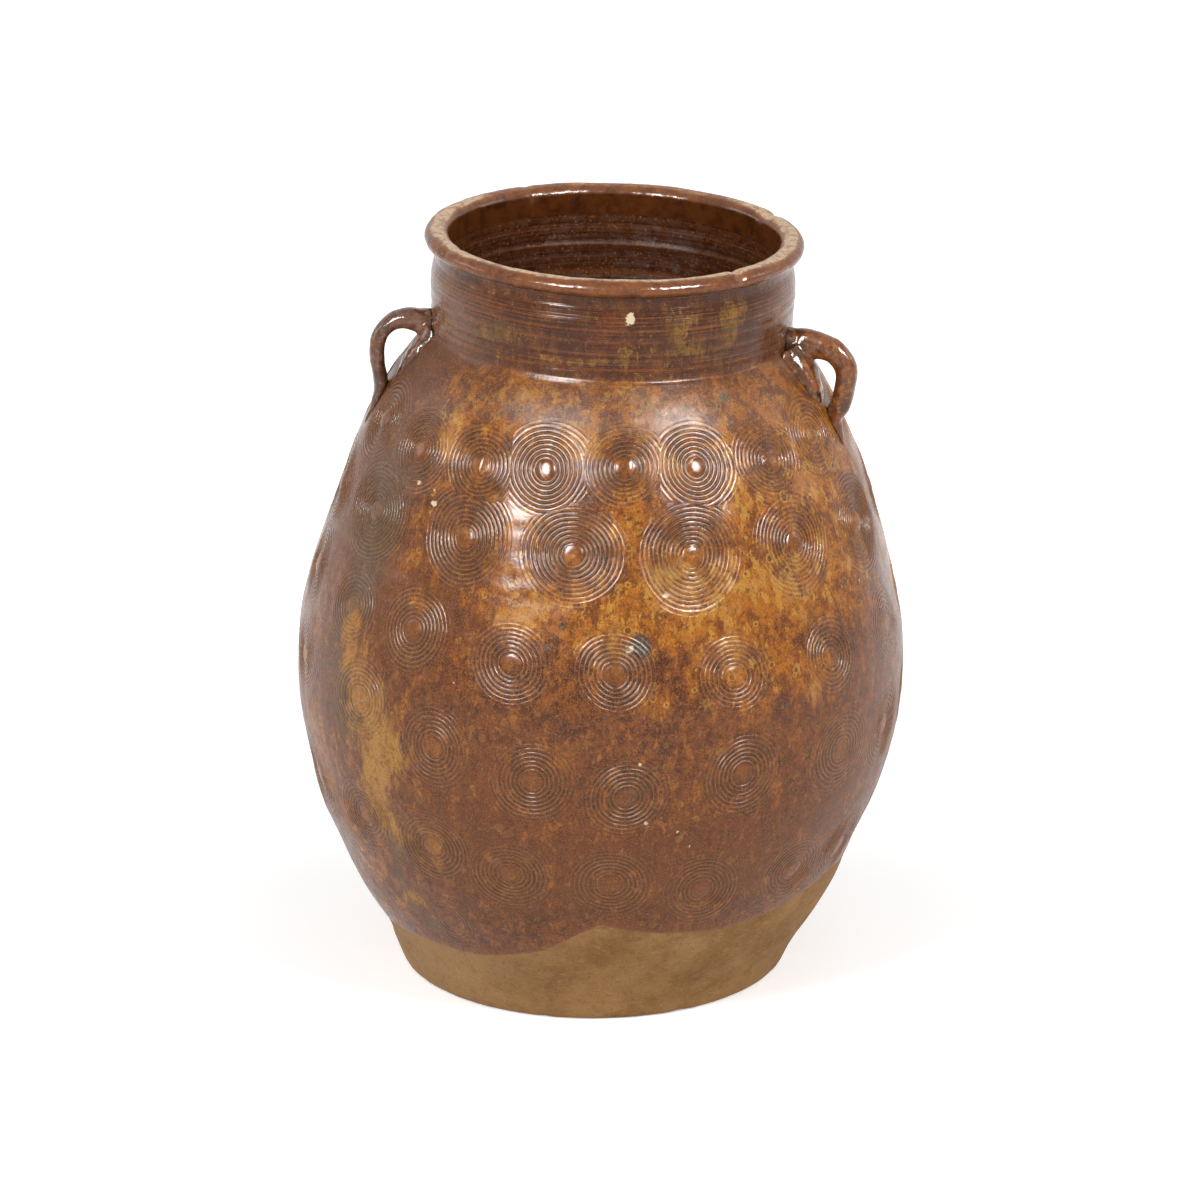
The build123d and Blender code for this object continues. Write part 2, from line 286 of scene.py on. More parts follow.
FRONT_STAMPS = [
    [(-71.8, 383), (-51.5, 378), (-32.2, 380), (-15.5, 383), (3.8, 387), (21.2, 386),
     (42.5, 383), (60.8, 389)],
    [(-60, 333), (-31.8, 336), (-7.2, 335), (18.2, 334), (43.8, 332), (68, 328)],
    [(-80, 279), (-57.5, 273), (-39.5, 273), (-17.8, 265), (2.2, 263), (25.5, 258), (48.8, 257),
     (71.5, 258)],
    [(-75.8, 221), (-51, 218), (-32.2, 202), (-12.5, 190), (5, 182), (27.2, 193), (51, 193),
     (68.2, 192)],
    [(-73, 140), (-52.8, 134), (-34.5, 128), (-17.5, 119), (2.8, 117), (21.8, 110), (45, 110),
     (61.5, 111)],
    [(-35, 69), (37.5, 71)],
]
BACK_STAMPS = [
    [(89.5, 384.7), (111, 381.3), (132.5, 383.6), (154, 387), (175.5, 382.5), (197, 380.2),
     (218.5, 384.7), (240, 381.3), (261.5, 383.6)],
    [(93.8, 330.1), (119.6, 333.5), (145.3, 335.1), (171.1, 331.5), (196.9, 334.2),
     (222.7, 335.8), (248.4, 332.4), (274.2, 329.7)],
    [(92, 261), (112.5, 266), (133, 262), (154, 268), (175, 264), (196, 270), (217, 266),
     (238, 271), (258.5, 275)],
    [(88, 196), (108, 190), (128, 197), (148, 203), (168.5, 195), (189, 200), (209.5, 207),
     (229.5, 201), (249, 210), (267, 216)],
    [(80, 114), (99, 112), (118, 118), (137, 115), (156.5, 121), (176, 117), (195, 124),
     (214, 119), (233, 127), (252, 131), (270, 136)],
    [(120, 70), (200, 66)],
]
RADII = [27, 34, 26, 29, 28, 21]
DEPTHS = [1.05, 1.1, 0.92, 0.85, 0.68, 0.20]
PITCH, BOSS = 2.9, 7.0
TWICE_SHARE = 0.28
MEAN_RADIUS = 180

rng = np.random.default_rng(41)
relief = np.zeros((len(rows), COLS))
ring = np.zeros_like(relief)
phase = np.zeros_like(relief)
boss = np.zeros_like(relief)
skin_rows = np.arange(first["lower"], last["neck"] + 1)
wobble = noise3(P0, 16.0, 5)
patchy = noise3(P0, 22.0, 6)


def struck_stamps():
    """Every print as azimuth, height, radius and depth, some of them struck twice."""
    stamps = []
    for front_row, back_row, radius, depth in zip(FRONT_STAMPS, BACK_STAMPS, RADII, DEPTHS):
        for a, h in front_row + back_row:
            size, deep = radius * rng.uniform(0.96, 1.04), depth * rng.uniform(0.85, 1.1)
            slip, shift = rng.uniform(0, 2 * math.pi), rng.uniform(2.5, 5.5)
            if rng.uniform() < TWICE_SHARE:
                du, dv = shift * math.cos(slip), shift * math.sin(slip)
                stamps.append((a + math.degrees(du / MEAN_RADIUS), h + dv, size, 0.55 * deep))
            stamps.append((a, h, size, deep))
    return stamps


def press(azimuth, height, radius, depth, slip):
    """One print: a shallow dish with a boss and raised rings, weaker where the hand slipped."""
    at = np.interp(height, rows[skin_rows, 1], arc[skin_rows])
    radius_here = np.interp(height, rows[skin_rows, 1], rows[skin_rows, 0])
    off = apart(np.degrees(az), azimuth)
    near_rows = skin_rows[np.abs(arc[skin_rows] - at) < radius + 8]
    near_cols = np.where(np.abs(np.radians(off)) * radius_here * 0.82 < radius + 8)[0]
    window = np.ix_(near_rows, near_cols)
    u = np.radians(off[near_cols])[None, :] * rows[near_rows, 0][:, None]
    v = (arc[near_rows] - at)[:, None] + 0 * u
    stretch = 1 + 0.03 * np.cos(2 * (np.arctan2(v, u) - slip))
    rho = np.maximum(np.hypot(u, v) * stretch + 0.35 * wobble[window], 0)

    fade = 1 - 0.35 * smooth(-0.1, 1.0, (u * math.cos(slip) + v * math.sin(slip)) / radius)
    amount = depth * fade * smooth(radius + 6, 0.62 * radius, rho) * (1 + 0.25 * patchy[window])
    amount = amount * smooth(BOSS - 0.6, BOSS + 0.6, rho)
    covered = ring[window]
    over = smooth(-0.12, 0.12, amount - covered * smooth(10, 18, rho))
    wave_at = (rho - BOSS - 0.5 * PITCH) / PITCH
    ridge = 2 * (0.5 + 0.5 * np.cos(2 * math.pi * wave_at)) ** 2.2 - 0.6
    relief[window] = relief[window] * (1 - over) + 0.31 * amount * ridge * over
    ring[window] = np.where(over > 0.5, amount, covered)
    phase[window] = np.where(over > 0.5, wave_at, phase[window])

    dome = np.clip(1 - (rho / BOSS) ** 3.2, 0, 1) ** 0.8
    dish = np.clip(1 - (rho / radius) ** 2, 0, 1) ** 2
    relief[window] += (0.35 + 0.7 * depth) * dome * depth - 0.55 * depth * dish
    boss[window] = np.maximum(boss[window] * smooth(8, 14, rho), dome * min(1, depth * 1.3))


for stamp in struck_stamps():
    press(*stamp, rng.uniform(0, 2 * math.pi))

# Unevenness of the hand-built wall, wheel lines, throwing rings and the step of the glaze

GLAZE_AZ = [
    -180, -150, -120, -95, -70, -60, -50, -40, -30, -20, -12, -5, 1, 4, 8, 20, 30, 40, 50, 60,
    75, 95, 120, 150, 180,
]
GLAZE_H = [
    58, 50, 41, 36, 38, 40, 42, 43, 45, 50, 58, 72, 84, 83, 80, 75, 74, 77, 82, 88, 90, 80, 62,
    66, 58,
]
# (height, depth, width) of the plain wheel lines of the neck
WHEEL_LINES = (
    (434.5, -0.5, 1.6), (437.8, 0.35, 1.2), (446.5, 0.25, 1.5), (459, -0.3, 1.6), (470, 0.2, 1.3),
)
# (azimuth, width, depth, height) of the dents of the rim
RIM_DENTS = (
    (41.5, 3.2, 1.6, 497), (-63, 4.5, 1.0, 498), (5.5, 2.4, 0.8, 491), (118, 6.0, 1.5, 498),
    (-150, 4.0, 1.2, 496),
)
# (azimuth, height, half width in degrees, half height, way out) of the bulges and hollows
BULGES = (
    (-90, 114, 34, 24, 2.6), (-88, 68, 30, 16, 1.0), (-86, 33, 26, 15, -1.1),
    (93, 96, 34, 26, -2.4), (-88, 330, 40, 30, -1.2), (88, 372, 40, 20, -1.2),
)
# (azimuth, width in degrees, depth) of the chips along the foot
FOOT_CHIPS = ((27, 2.2, 1.4), (-14, 1.6, 1.0), (140, 3, 1.1))


def wheel_noise(around, size, seed):
    """Noise drawn out around the jar: around is the share of its change along a circle."""
    return noise3(np.stack([H, P0[..., 0] * around, P0[..., 1] * around], -1), size, seed)


def uneven_wall():
    lumps = 1.5 * noise3(P0, 95.0, 1) + 0.8 * noise3(P0, 42.0, 2)
    lumps = lumps + 0.25 * noise3(P0, 17.0, 3) + 0.07 * noise3(P0, 6.0, 4)
    mask = outside * smooth(0, 30, row_h)
    mask[first["neck"] :] *= 0.35
    coil = (outside * smooth(40, 80, row_h))[:, None] * 0.12 * wheel_noise(0.01, 6.0, 10)
    return lumps * mask[:, None] + coil


def glaze_step():
    """The bare clay lies a little lower than the glaze that ends above it."""
    return outside[:, None] * (smooth(-1.2, 1.2, glaze) - 1) * 0.35 * smooth(16, 30, H)


def neck_lines():
    fine = 0.13 * wheel_noise(0.02, 3.1, 8) + 0.09 * wheel_noise(0.03, 1.7, 9)
    total = (outside * smooth(425, 436, row_h))[:, None] * fine
    for level, depth, width in WHEEL_LINES:
        total += outside[:, None] * depth * bell(H - level, width)
    return total


def throwing_rings():
    inside_rows = np.zeros(len(rows))
    inside_rows[first["neck_in"] :] = 1
    rings = 0.55 * np.maximum(wheel_noise(0.012, 4.6, 16) - 0.15, 0) * 2
    rings = rings + 0.10 * wheel_noise(0.03, 1.7, 17)
    ends = smooth(SEAT_H, SEAT_H - 8, row_h) * smooth(20, 60, row_h)
    return (inside_rows * ends)[:, None] * (rings - 0.3)


def uneven_rim():
    worked = 0.4 * noise3(P0, 40.0, 12) + 0.28 * noise3(P0, 11.0, 13)
    worked = worked + 0.12 * noise3(P0, 3.5, 14) - 0.1
    for a, width, depth, level in RIM_DENTS:
        off = np.radians(apart(az_deg, a))[None, :] * R
        worked -= depth * np.exp(-((off / width) ** 2) - ((H - level) / 5.0) ** 2)
    return rim_rows[:, None] * worked


def side_bulges():
    total = 0
    for a, h, wide, tall, out in BULGES:
        total = total + out * bell(apart(az_deg, a), wide)[None, :] * bell(H - h, tall)
    return outside[:, None] * total


def within_girth(rise):
    """The widest girth keeps within the solid's own radius."""
    girth = smooth(128, 172, row_h) * smooth(290, 240, row_h)
    return rise - girth[:, None] * (np.maximum(rise, 0) * 0.97 + 0.12)


def chip_foot(points):
    """The foot's edge is chipped, and the rows under it run in towards the middle."""
    chips = sum(depth * bell(az_deg - a, width) for a, width, depth in FOOT_CHIPS)
    for k in range(SKIRT):
        t = k / SKIRT
        row = points[BOTTOM + k]
        worn = chips * math.exp(-((t * 3.2) ** 2)) + 0.35 * (noise3(row, 9.0, 15) + 1) * (1 - t)
        row[:, :2] *= (1 - worn / FOOT)[:, None]
    points[BOTTOM, :, 2] = 0
    for k in range(BOTTOM):
        points[k] = points[BOTTOM] * (0.03 + 0.97 * k / BOTTOM)
    points[..., 2] = np.maximum(points[..., 2], 0)


def skin_normals(points):
    """Normals of the whole skin, so that the seams between pieces don't show."""
    across = np.roll(points, -1, 1) - np.roll(points, 1, 1)
    normals = np.cross(across, np.gradient(points, axis=0))
    normals /= np.maximum(np.linalg.norm(normals, axis=-1, keepdims=True), 1e-9)
    normals[:BOTTOM] = (0, 0, -1)
    return normals


glaze = H - (np.interp(az_deg, GLAZE_AZ, GLAZE_H)[None, :] + 1.2 * noise3(P0, 16.0, 11))
rim_rows = np.zeros(len(rows))
rim_rows[first["rim"] : last["rim"] + 1] = 1
rim_rows = rim_rows * smooth(SEAT_H + 0.5, SEAT_H + 6, row_h)
relief += uneven_wall() + glaze_step() + neck_lines() + throwing_rings()
relief += uneven_rim() + side_bulges()
relief = within_girth(relief)
skin_r = R + out_r[:, None] * relief
P = to_world(skin_r, H + out_h[:, None] * relief)
chip_foot(P)
N = skin_normals(P)

# Colour fields, as soft patches in azimuth and height that noise then breaks up

PATCH_RADIUS = 130
warp_u = 9 * noise3(P0, 28.0, 21) + 4 * noise3(P0, 9.0, 22)
warp_v = 11 * noise3(P0, 34.0, 23) + 4 * noise3(P0, 10.0, 24)


def patches(items, warp=1.0):
    """Sum of soft patches: azimuth, height, half width, half height and strength."""
    field = np.zeros((len(rows), COLS))
    for a, h, width, tall, strength in items:
        near = np.where(np.abs(rows[:, 1] - h) < 2.6 * tall + 16)[0]
        near = near[outside[near] > 0]
        off = np.radians(apart(az_deg, a))
        cols = np.where(np.abs(off) * PATCH_RADIUS < 2.6 * width + 16)[0]
        window = np.ix_(near, cols)
        u = off[cols][None, :] * rows[near, 0][:, None] + warp * warp_u[window]
        v = rows[near, 1][:, None] - h + warp * warp_v[window]
        field[window] += strength * np.exp(-((u / width) ** 2) - (v / tall) ** 2)
    return field


def draw(*ranges):
    return [rng.uniform(low, high) for low, high in ranges]


def scatter(table, count, *ranges):
    """Add count random patches, each of their values drawn from its own range."""
    for _ in range(count):
        table.append(draw(*ranges))


AMBER = [
    (-45, 400, 14, 18, 0.9), (-43, 384, 10, 10, 0.7), (-26, 425, 20, 7, 0.8),
    (-5, 406, 14, 9, 0.9), (4, 418, 26, 9, 0.8), (0, 426, 44, 5, 0.6), (33, 425, 18, 9, 0.8),
    (50, 412, 26, 16, 0.5), (12, 392, 9, 20, 0.7), (31, 385, 8, 30, 0.9),
    (36, 362, 26, 14, 1.0), (54, 360, 22, 22, 0.8), (40, 306, 46, 18, 0.9),
    (27, 312, 36, 16, 0.9), (10, 315, 26, 12, 0.9), (-15, 294, 24, 12, 0.9),
    (0, 292, 20, 20, 0.7), (15, 288, 30, 16, 0.7), (28, 270, 34, 22, 0.8),
    (42, 252, 30, 18, 0.7), (12, 246, 30, 14, 0.5), (60, 300, 30, 40, 0.4),
    (3, 355, 10, 20, 0.6), (-20, 352, 10, 14, 0.5), (-33, 412, 18, 12, 0.6),
    (17, 215, 9, 16, 0.5), (-8, 200, 5, 14, 0.35), (60, 400, 30, 40, 0.3),
    (-66, 150, 34, 60, 0.45), (-55, 95, 26, 40, 0.40), (-74, 240, 26, 50, 0.4),
    (-18, 310, 16, 10, 0.5), (-26, 262, 10, 20, 0.3), (-38, 290, 8, 8, 0.7),
    (-40, 222, 9, 9, 0.6),
]
OCHRE = [
    (-16, 296, 13, 8, 0.9), (-21, 289, 8, 6, 0.8), (-11, 304, 10, 5, 0.7),
    (16, 312, 16, 6, 0.8), (11, 305, 10, 5, 0.6), (1, 288, 4, 14, 0.7), (3, 276, 4, 8, 0.6),
    (25, 292, 5, 14, 0.8), (27, 277, 6, 8, 0.8), (32, 312, 9, 8, 0.6), (40, 300, 5, 10, 0.6),
    (43, 287, 5, 10, 0.9), (44, 240, 9, 9, 0.8), (20, 243, 6, 5, 0.6), (-53, 234, 16, 18, 0.8),
    (-48, 214, 15, 17, 0.9), (-43, 194, 18, 17, 1.0), (-47, 172, 14, 20, 0.9),
    (-48, 150, 12, 16, 0.8), (-45, 132, 12, 16, 0.8), (-55, 190, 14, 26, 0.4),
    (-57, 255, 10, 18, 0.5), (-34, 128, 12, 16, 0.5), (-45, 78, 13, 6, 0.7),
    (-50, 70, 8, 4, 0.6), (-36, 168, 6, 10, 0.4), (-57, 262, 12, 10, 0.4), (34, 422, 7, 7, 0.8),
    (-45, 400, 6, 12, 0.7), (-43, 384, 6, 6, 0.6), (6, 423, 14, 4, 0.6), (-6, 404, 9, 5, 0.8),
    (-28, 424, 12, 4, 0.5), (54, 366, 6, 16, 0.5), (60, 330, 8, 18, 0.3), (3, 350, 6, 8, 0.4),
    (-14, 262, 3, 10, 0.4), (47, 262, 8, 12, 0.4), (25, 262, 8, 8, 0.5), (-40, 455, 22, 5, 0.7),
    (-33, 462, 12, 3, 0.5), (-28, 484, 40, 2.6, 0.8), (-5, 485, 30, 1.6, 0.4),
    (-3, 444, 26, 3, 0.6), (4, 452, 8, 4, 0.6), (20, 468, 8, 12, 0.7), (24, 455, 14, 5, 0.6),
    (38, 466, 8, 14, 0.8), (36, 450, 10, 8, 0.5), (42, 474, 10, 6, 0.5), (-20, 444, 14, 3, 0.4),
    (28, 476, 7, 5, 0.4), (12, 436, 20, 1.6, 0.4),
]
ASH = [
    (-60, 345, 24, 30, 0.8), (-56, 300, 20, 34, 0.9), (-57, 268, 22, 22, 0.6),
    (-63, 240, 24, 24, 0.5), (-58, 212, 14, 22, 0.5), (-55, 196, 12, 24, 0.5),
    (-49, 150, 9, 26, 0.7), (-47, 120, 9, 22, 0.7), (-45, 86, 9, 22, 0.6),
    (-42, 56, 14, 12, 0.5), (-69, 318, 18, 24, 0.35), (-41, 100, 14, 30, 0.25),
]
PLUM_AND_NECK_SHEEN = [
    (-38, 300, 46, 46, 0.8), (-78, 330, 60, 80, 0.8), (-76, 400, 50, 40, 0.8),
    (-44, 262, 40, 30, 0.6), (-25, 165, 60, 60, 0.8), (60, 170, 90, 70, 0.7),
    (10, 150, 90, 50, 0.6), (20, 110, 120, 34, 0.7), (-20, 110, 40, 30, 0.5),
    (78, 300, 50, 90, 0.7), (-88, 200, 70, 90, 0.6), (-60, 430, 30, 12, 0.5),
    # The last two patches lie on the neck's sides, where they place a painted sheen
    (-66, 458, 42, 40, 1.1), (74, 458, 30, 40, 1.1),
]
DARK = [
    (7, 281, 6, 8, 1.4), (-8, 291, 3, 3, 0.9), (-4, 287, 2, 2, 0.8), (34, 422, 3, 2.6, 1.2),
    (7.5, 300, 1.6, 1.4, 1.0), (36, 234, 3, 3, 0.8), (10, 172, 2, 2, 0.6), (30, 330, 3, 5, 0.5),
    (-62, 336, 9, 10, 0.5), (3, 100, 44, 16, 0.25), (8, 183, 30, 14, 0.3),
    (0, 190, 40, 24, 0.2), (33, 356, 2, 2, 0.9), (-53, 420, 2, 2, 0.8), (24, 30, 26, 12, 0.3),
]
PALE = [
    (-42, 351, 2.4, 1.6, 1.6), (5, 475, 3.4, 3.6, 1.5), (12, 311, 3.5, 1.5, 1.1),
    (-48, 359, 1.8, 1.4, 1.2), (17, 301, 1.2, 2.2, 0.9), (9, 163, 3.5, 2.0, 0.7),
    (-60, 100, 3, 1.2, 0.8), (-28, 128, 1.2, 2.0, 0.8), (2, 36, 1.2, 1.4, 1.0),
    (-54, 288, 1.2, 1.2, 1.0), (62, 249, 4, 1.2, 0.6), (-14, 222, 5, 1.2, 0.5),
    (38, 378, 1.0, 3.0, 0.6), (5, 279, 4, 3, 0.8),
]
for _ in range(46):
    a = rng.uniform(80, 275)
    AMBER.append([a, *draw((250, 425), (10, 40), (10, 26), (0.4, 0.9))])
    near_a = a + rng.uniform(-14, 14)
    OCHRE.append([near_a, *draw((235, 425), (4, 11), (5, 15), (0.3, 0.8))])
scatter(OCHRE, 16, (60, 300), (438, 480), (8, 20), (2, 8), (0.4, 0.8))
for k in range(9):
    ash_a, ochre_a = 150 + 8 * math.sin(k * 1.3), 158 + 8 * math.sin(k * 1.9)
    ASH.append((ash_a, 350 - 32 * k, rng.uniform(12, 22), 26, rng.uniform(0.4, 0.8)))
    OCHRE.append((ochre_a, 300 - 22 * k, rng.uniform(6, 12), 16, rng.uniform(0.3, 0.8)))
    PLUM_AND_NECK_SHEEN.append((rng.uniform(90, 270), rng.uniform(120, 330), 80, 60, 0.7))
scatter(DARK, 60, (-180, 180), (60, 430), (0.8, 1.8), (0.8, 1.8), (0.5, 1.0))
scatter(PALE, 36, (-180, 180), (60, 430), (0.6, 1.4), (0.6, 1.2), (0.6, 1.1))

front_zone = smooth(-66, -40, az_deg) * smooth(92, 62, az_deg)
back_zone = smooth(80, 120, np.abs(az_deg))
amber_shoulder = np.maximum(
    smooth(262, 318, H) * smooth(442, 425, H) * front_zone[None, :],
    0.8 * smooth(270, 330, H) * smooth(442, 425, H) * back_zone[None, :],
)


def worn_crest_and_side_sheen():
    """Where the crest of the lip is rubbed pale: broadest at the sides, where the wider pale band
    is painted sheen, and little at the back.
    """
    from_side = np.abs(az_deg + 6)
    # Painted sheen: the pale band grows wider and stronger towards the sides as seen from the front
    side_sheen = smooth(35, 85, from_side) * smooth(128, 112, np.abs(az_deg))
    band = np.clip(1.40 - np.abs(skin_r - 114.6) / (5.0 + 1.6 * side_sheen)[None, :], 0, 1)
    share = 0.96 + 0.12 * smooth(30, 90, from_side) - 0.46 * smooth(112, 140, np.abs(az_deg))
    crest = band * smooth(494, 499, H) * share[None, :]
    worn = np.clip(crest * (1.15 + 0.4 * noise3(P0, 13.0, 31)), 0, 1)
    return worn * (rim_rows > 0)[:, None]


fields = {
    "amber": 0.36 * amber_shoulder * outside[:, None] + patches(AMBER),
    "ochre": patches(OCHRE, 0.55),
    "ash": patches(ASH),
    "plum": patches(PLUM_AND_NECK_SHEEN),
    "dark": patches(DARK, 0.12),
    "pale": patches(PALE, 0.10),
    "glaze": glaze,
    "height": H,
    "ring": ring,
    "phase": phase,
    "boss": boss,
    "inside": smooth(112.0, 108.8, skin_r) * smooth(498.0, 493.5, H),
    "wear_and_side_sheen": worn_crest_and_side_sheen(),
}

# Pieces cut from the skin. On the UV map the outside run lies below the inside run, the flat
# rings that close a piece lie between or above them, and the caps along the top edge.

UP = np.array([LEAN_SIN, 0, LEAN_COS])
RUN_BANDS = {1: [(0.0, 0.94)], 2: [(0.0, 0.72), (0.76, 1.0)]}
LOW_RING_V = {1: 0.96, 2: 0.725}
TOP_RING_V, RING_V_WIDTH, CAP_V = 0.742, 0.012, 0.9995
columns = np.arange(COLS)
next_columns = (columns + 1) % COLS
left_u, right_u = columns / COLS, (columns + 1) / COLS


def ring_faces(row_a, row_b, v_a, v_b):
    """Quads between rows of points, with their corners on the UV map."""
    a, b = row_a * COLS, row_b * COLS
    quads = np.stack([a + columns, a + next_columns, b + next_columns, b + columns], -1)
    uv = np.empty((*quads.shape, 2))
    uv[..., 0] = np.stack([left_u, right_u, right_u, left_u], -1)
    uv[..., :2, 1] = (v_a + 0 * left_u)[..., None]
    uv[..., 2:, 1] = (v_b + 0 * left_u)[..., None]
    return quads.reshape(-1, 4), uv.reshape(-1, 4, 2)


def run_faces(start, size, low_v, high_v):
    """Quads of a run of rows, spread over a band of the UV map."""
    step = np.arange(size - 1)[:, None]
    rise = (high_v - low_v) / (size - 1)
    low, high = low_v + rise * step, low_v + rise * (step + 1)
    return ring_faces(start + step, start + step + 1, low, high)


def cap_faces(row, centre, upward):
    """Triangles from one row of points to a centre point."""
    a, b = (columns, next_columns) if upward else (next_columns, columns)
    corners = np.stack([row * COLS + a, row * COLS + b, np.full(COLS, centre)], -1)
    uv = np.repeat(np.stack([left_u, 0 * left_u + CAP_V], -1)[:, None], 3, 1)
    return corners, uv, np.broadcast_to(UP if upward else (0, 0, -1.0), (COLS, 3, 3))


def write_mesh(name, points, faces):
    """Mesh of quads and triangles, each kind as (corners, uv, normals)."""
    counts = [len(corners) for corners, _, _ in faces]
    sides = np.repeat([corners.shape[1] for corners, _, _ in faces], counts)
    loops = np.concatenate([corners.reshape(-1) for corners, _, _ in faces])
    mesh = bpy.data.meshes.new(name)
    mesh.vertices.add(len(points))
    mesh.vertices.foreach_set("co", points.astype(np.float32).ravel())
    mesh.loops.add(len(loops))
    mesh.loops.foreach_set("vertex_index", loops.astype(np.int32))
    mesh.polygons.add(len(sides))
    mesh.polygons.foreach_set("loop_start", (np.cumsum(sides) - sides).astype(np.int32))
    mesh.update(calc_edges=True)
    mesh.polygons.foreach_set("use_smooth", np.ones(len(sides), bool))
    uv = np.concatenate([uv.reshape(-1) for _, uv, _ in faces])
    mesh.uv_layers.new(name="OFBake").data.foreach_set("uv", uv.astype(np.float32))
    normals = np.concatenate([normals.reshape(-1, 3) for _, _, normals in faces])
    mesh.normals_split_custom_set(normals.astype(np.float32))
    return mesh


def add_values(mesh, name, values):
    attribute = mesh.attributes.new(name, "FLOAT", "POINT")
    attribute.data.foreach_set("value", values.astype(np.float32))


def place_piece(name, mesh):
    piece = bpy.data.objects.new(name, mesh)
    bpy.context.scene.collection.objects.link(piece)
    return piece


def cut_piece(name, *runs, capped=False):
    """Closed piece from a run of outside rows and, but for the rim, a run of inside rows."""
    picks = [np.arange(first[run], last[run] + 1) for run in runs]
    if capped:
        picks[0] = np.arange(0, first["lower"] + 1)
    index = np.concatenate(picks)
    outer_size, total = len(picks[0]), len(index)
    points = P[index].reshape(-1, 3) / MM_PER_M
    normals = N[index].reshape(-1, 3)
    faces = []
    start = 0
    for pick, (low_v, high_v) in zip(picks, RUN_BANDS[len(runs)]):
        quads, uv = run_faces(start, len(pick), low_v, high_v)
        faces.append((quads, uv, normals[quads]))
        start += len(pick)

    def close(row_a, row_b, facing, v):
        quads, uv = ring_faces(row_a, row_b, v, v + RING_V_WIDTH)
        faces.append((quads, uv, np.broadcast_to(facing, (COLS, 4, 3))))

    if not capped:
        close(total - 1, 0, -UP, LOW_RING_V[len(runs)])
    if len(runs) == 2:
        close(outer_size - 1, outer_size, UP, TOP_RING_V)
    centres = np.empty((0, 3))
    if capped:
        for row, upward in ((0, False), (total - 1, True)):
            faces.append(cap_faces(row, len(points) + len(centres), upward))
            centre = points[row * COLS : (row + 1) * COLS].mean(0)
            centres = np.vstack([centres, centre])
    mesh = write_mesh(name, np.vstack([points, centres]), faces)
    for key, field in fields.items():
        add_values(mesh, key, np.append(field[index].reshape(-1), np.zeros(len(centres))))
    slots = np.zeros(len(mesh.polygons), np.int32)
    if len(runs) == 2:
        inner_start = (outer_size - 1) * COLS
        slots[inner_start : inner_start + (len(picks[1]) - 1) * COLS] = 1
    else:
        lip_rows = picks[0][: (outer_size - 1) // 3]
        slots[: np.count_nonzero(rows[lip_rows, 1] < UNDERCUT_H) * COLS] = 1
    mesh.polygons.foreach_set("material_index", slots)
    return place_piece(name, mesh)


skin_pieces = {
    "floor_disc": cut_piece("foot_and_floor", "skirt", "floor_in", capped=True),
    "lower_wall": cut_piece("lower_skin", "lower", "lower_in"),
    "belly_wall": cut_piece("belly_skin", "belly", "belly_in"),
    "shoulder_wall": cut_piece("shoulder_skin", "shoulder", "shoulder_in"),
    "neck_collar": cut_piece("neck_skin", "neck", "neck_in"),
    "rolled_rim": cut_piece("rim_roll", "rim"),
}

# Handles: a strap swept along its stations with a pad, fused by remeshing and worked by noise.
# Stations are shares of a handle's own sizes: the loop's (out, down, width, thickness), the
# tail's (down, lift, width, thickness) and the pad's (down, width, thickness).

LOOP = [
    (-0.15, 0.125, 1.20, 1.80), (0.10, 0.113, 1.20, 1.70), (0.36, 0.090, 1.10, 1.35),
    (0.62, 0.118, 1.00, 1.10), (0.80, 0.210, 0.95, 1.05), (0.865, 0.330, 0.95, 1.02),
    (0.84, 0.480, 0.97, 1.00), (0.79, 0.610, 1.00, 0.98),
]
TAIL = [(0.74, 0.16, 0.82, 0.80), (0.88, 0.04, 0.50, 0.50), (1.00, -0.04, 0.20, 0.22)]
PAD = [
    (0.00, 0.95, 1.45), (0.22, 1.12, 1.55), (0.48, 1.10, 1.40),
    (0.72, 0.90, 1.05), (0.90, 0.56, 0.60), (1.00, 0.20, 0.20),
]
STRAP_WIDTH, PAD_WIDTH, PAD_TALL, PAD_THICK = 15, 17, 36.0, 10
SUNK = 0.6
SECTION_POINTS = 28
SECTION_POWER = 0.86


def dense_stations(stations):
    """Stations with a smooth curve through each of their four values."""
    line = np.array(stations, float)
    at = np.arange(len(line)) * 10.0
    curves = [curve_through(np.stack([at, line[:, k]], 1), 8)[:, 1] for k in range(4)]
    return np.stack(curves, 1)


def section_point(k, width, thick):
    """A point of the strap's squarish section, across it and out of it."""
    t = 2 * math.pi * k / SECTION_POINTS
    c, s = (math.copysign(abs(v) ** SECTION_POWER, v) for v in (math.cos(t), math.sin(t)))
    return c * width / 2, s * thick / 2


def sweep(bm, azimuth, stations):
    """Tube of flattened sections along (radius, height, width, thickness) stations."""
    a = math.radians(azimuth)
    out_dir = np.array([math.sin(a), -math.cos(a)])
    side = np.array([math.cos(a), math.sin(a)])
    dense = dense_stations(stations)
    step = np.gradient(dense[:, :2], axis=0)
    step /= np.hypot(*step.T)[:, None]
    rings = []
    for (radius, height, width, thick), (step_r, step_h) in zip(dense, step):
        verts = []
        for k in range(SECTION_POINTS):
            w, d = section_point(k, width, thick)
            x, y = out_dir * (radius - step_h * d) + side * w
            point = leaning(x, y, height + step_r * d)
            verts.append(bm.verts.new([value / MM_PER_M for value in point]))
        rings.append(verts)
    for one, two in zip(rings, rings[1:]):
        for k in range(SECTION_POINTS):
            after = (k + 1) % SECTION_POINTS
            bm.faces.new((one[k], two[k], two[after], one[after]))
    bm.faces.new(rings[0])
    bm.faces.new(rings[-1][::-1])


def strap_stations(reach, top, drop, thick):
    line = []
    for out, down, w, t in LOOP:
        line.append((NECK + out * reach, top - down * drop, w * STRAP_WIDTH, t * thick))
    for down, lift, w, t in TAIL:
        h = top - down * drop
        r = skin_at(h) + lift * thick - SUNK
        line.append((r, h, w * STRAP_WIDTH, max(t * thick, 3.0)))
    return line


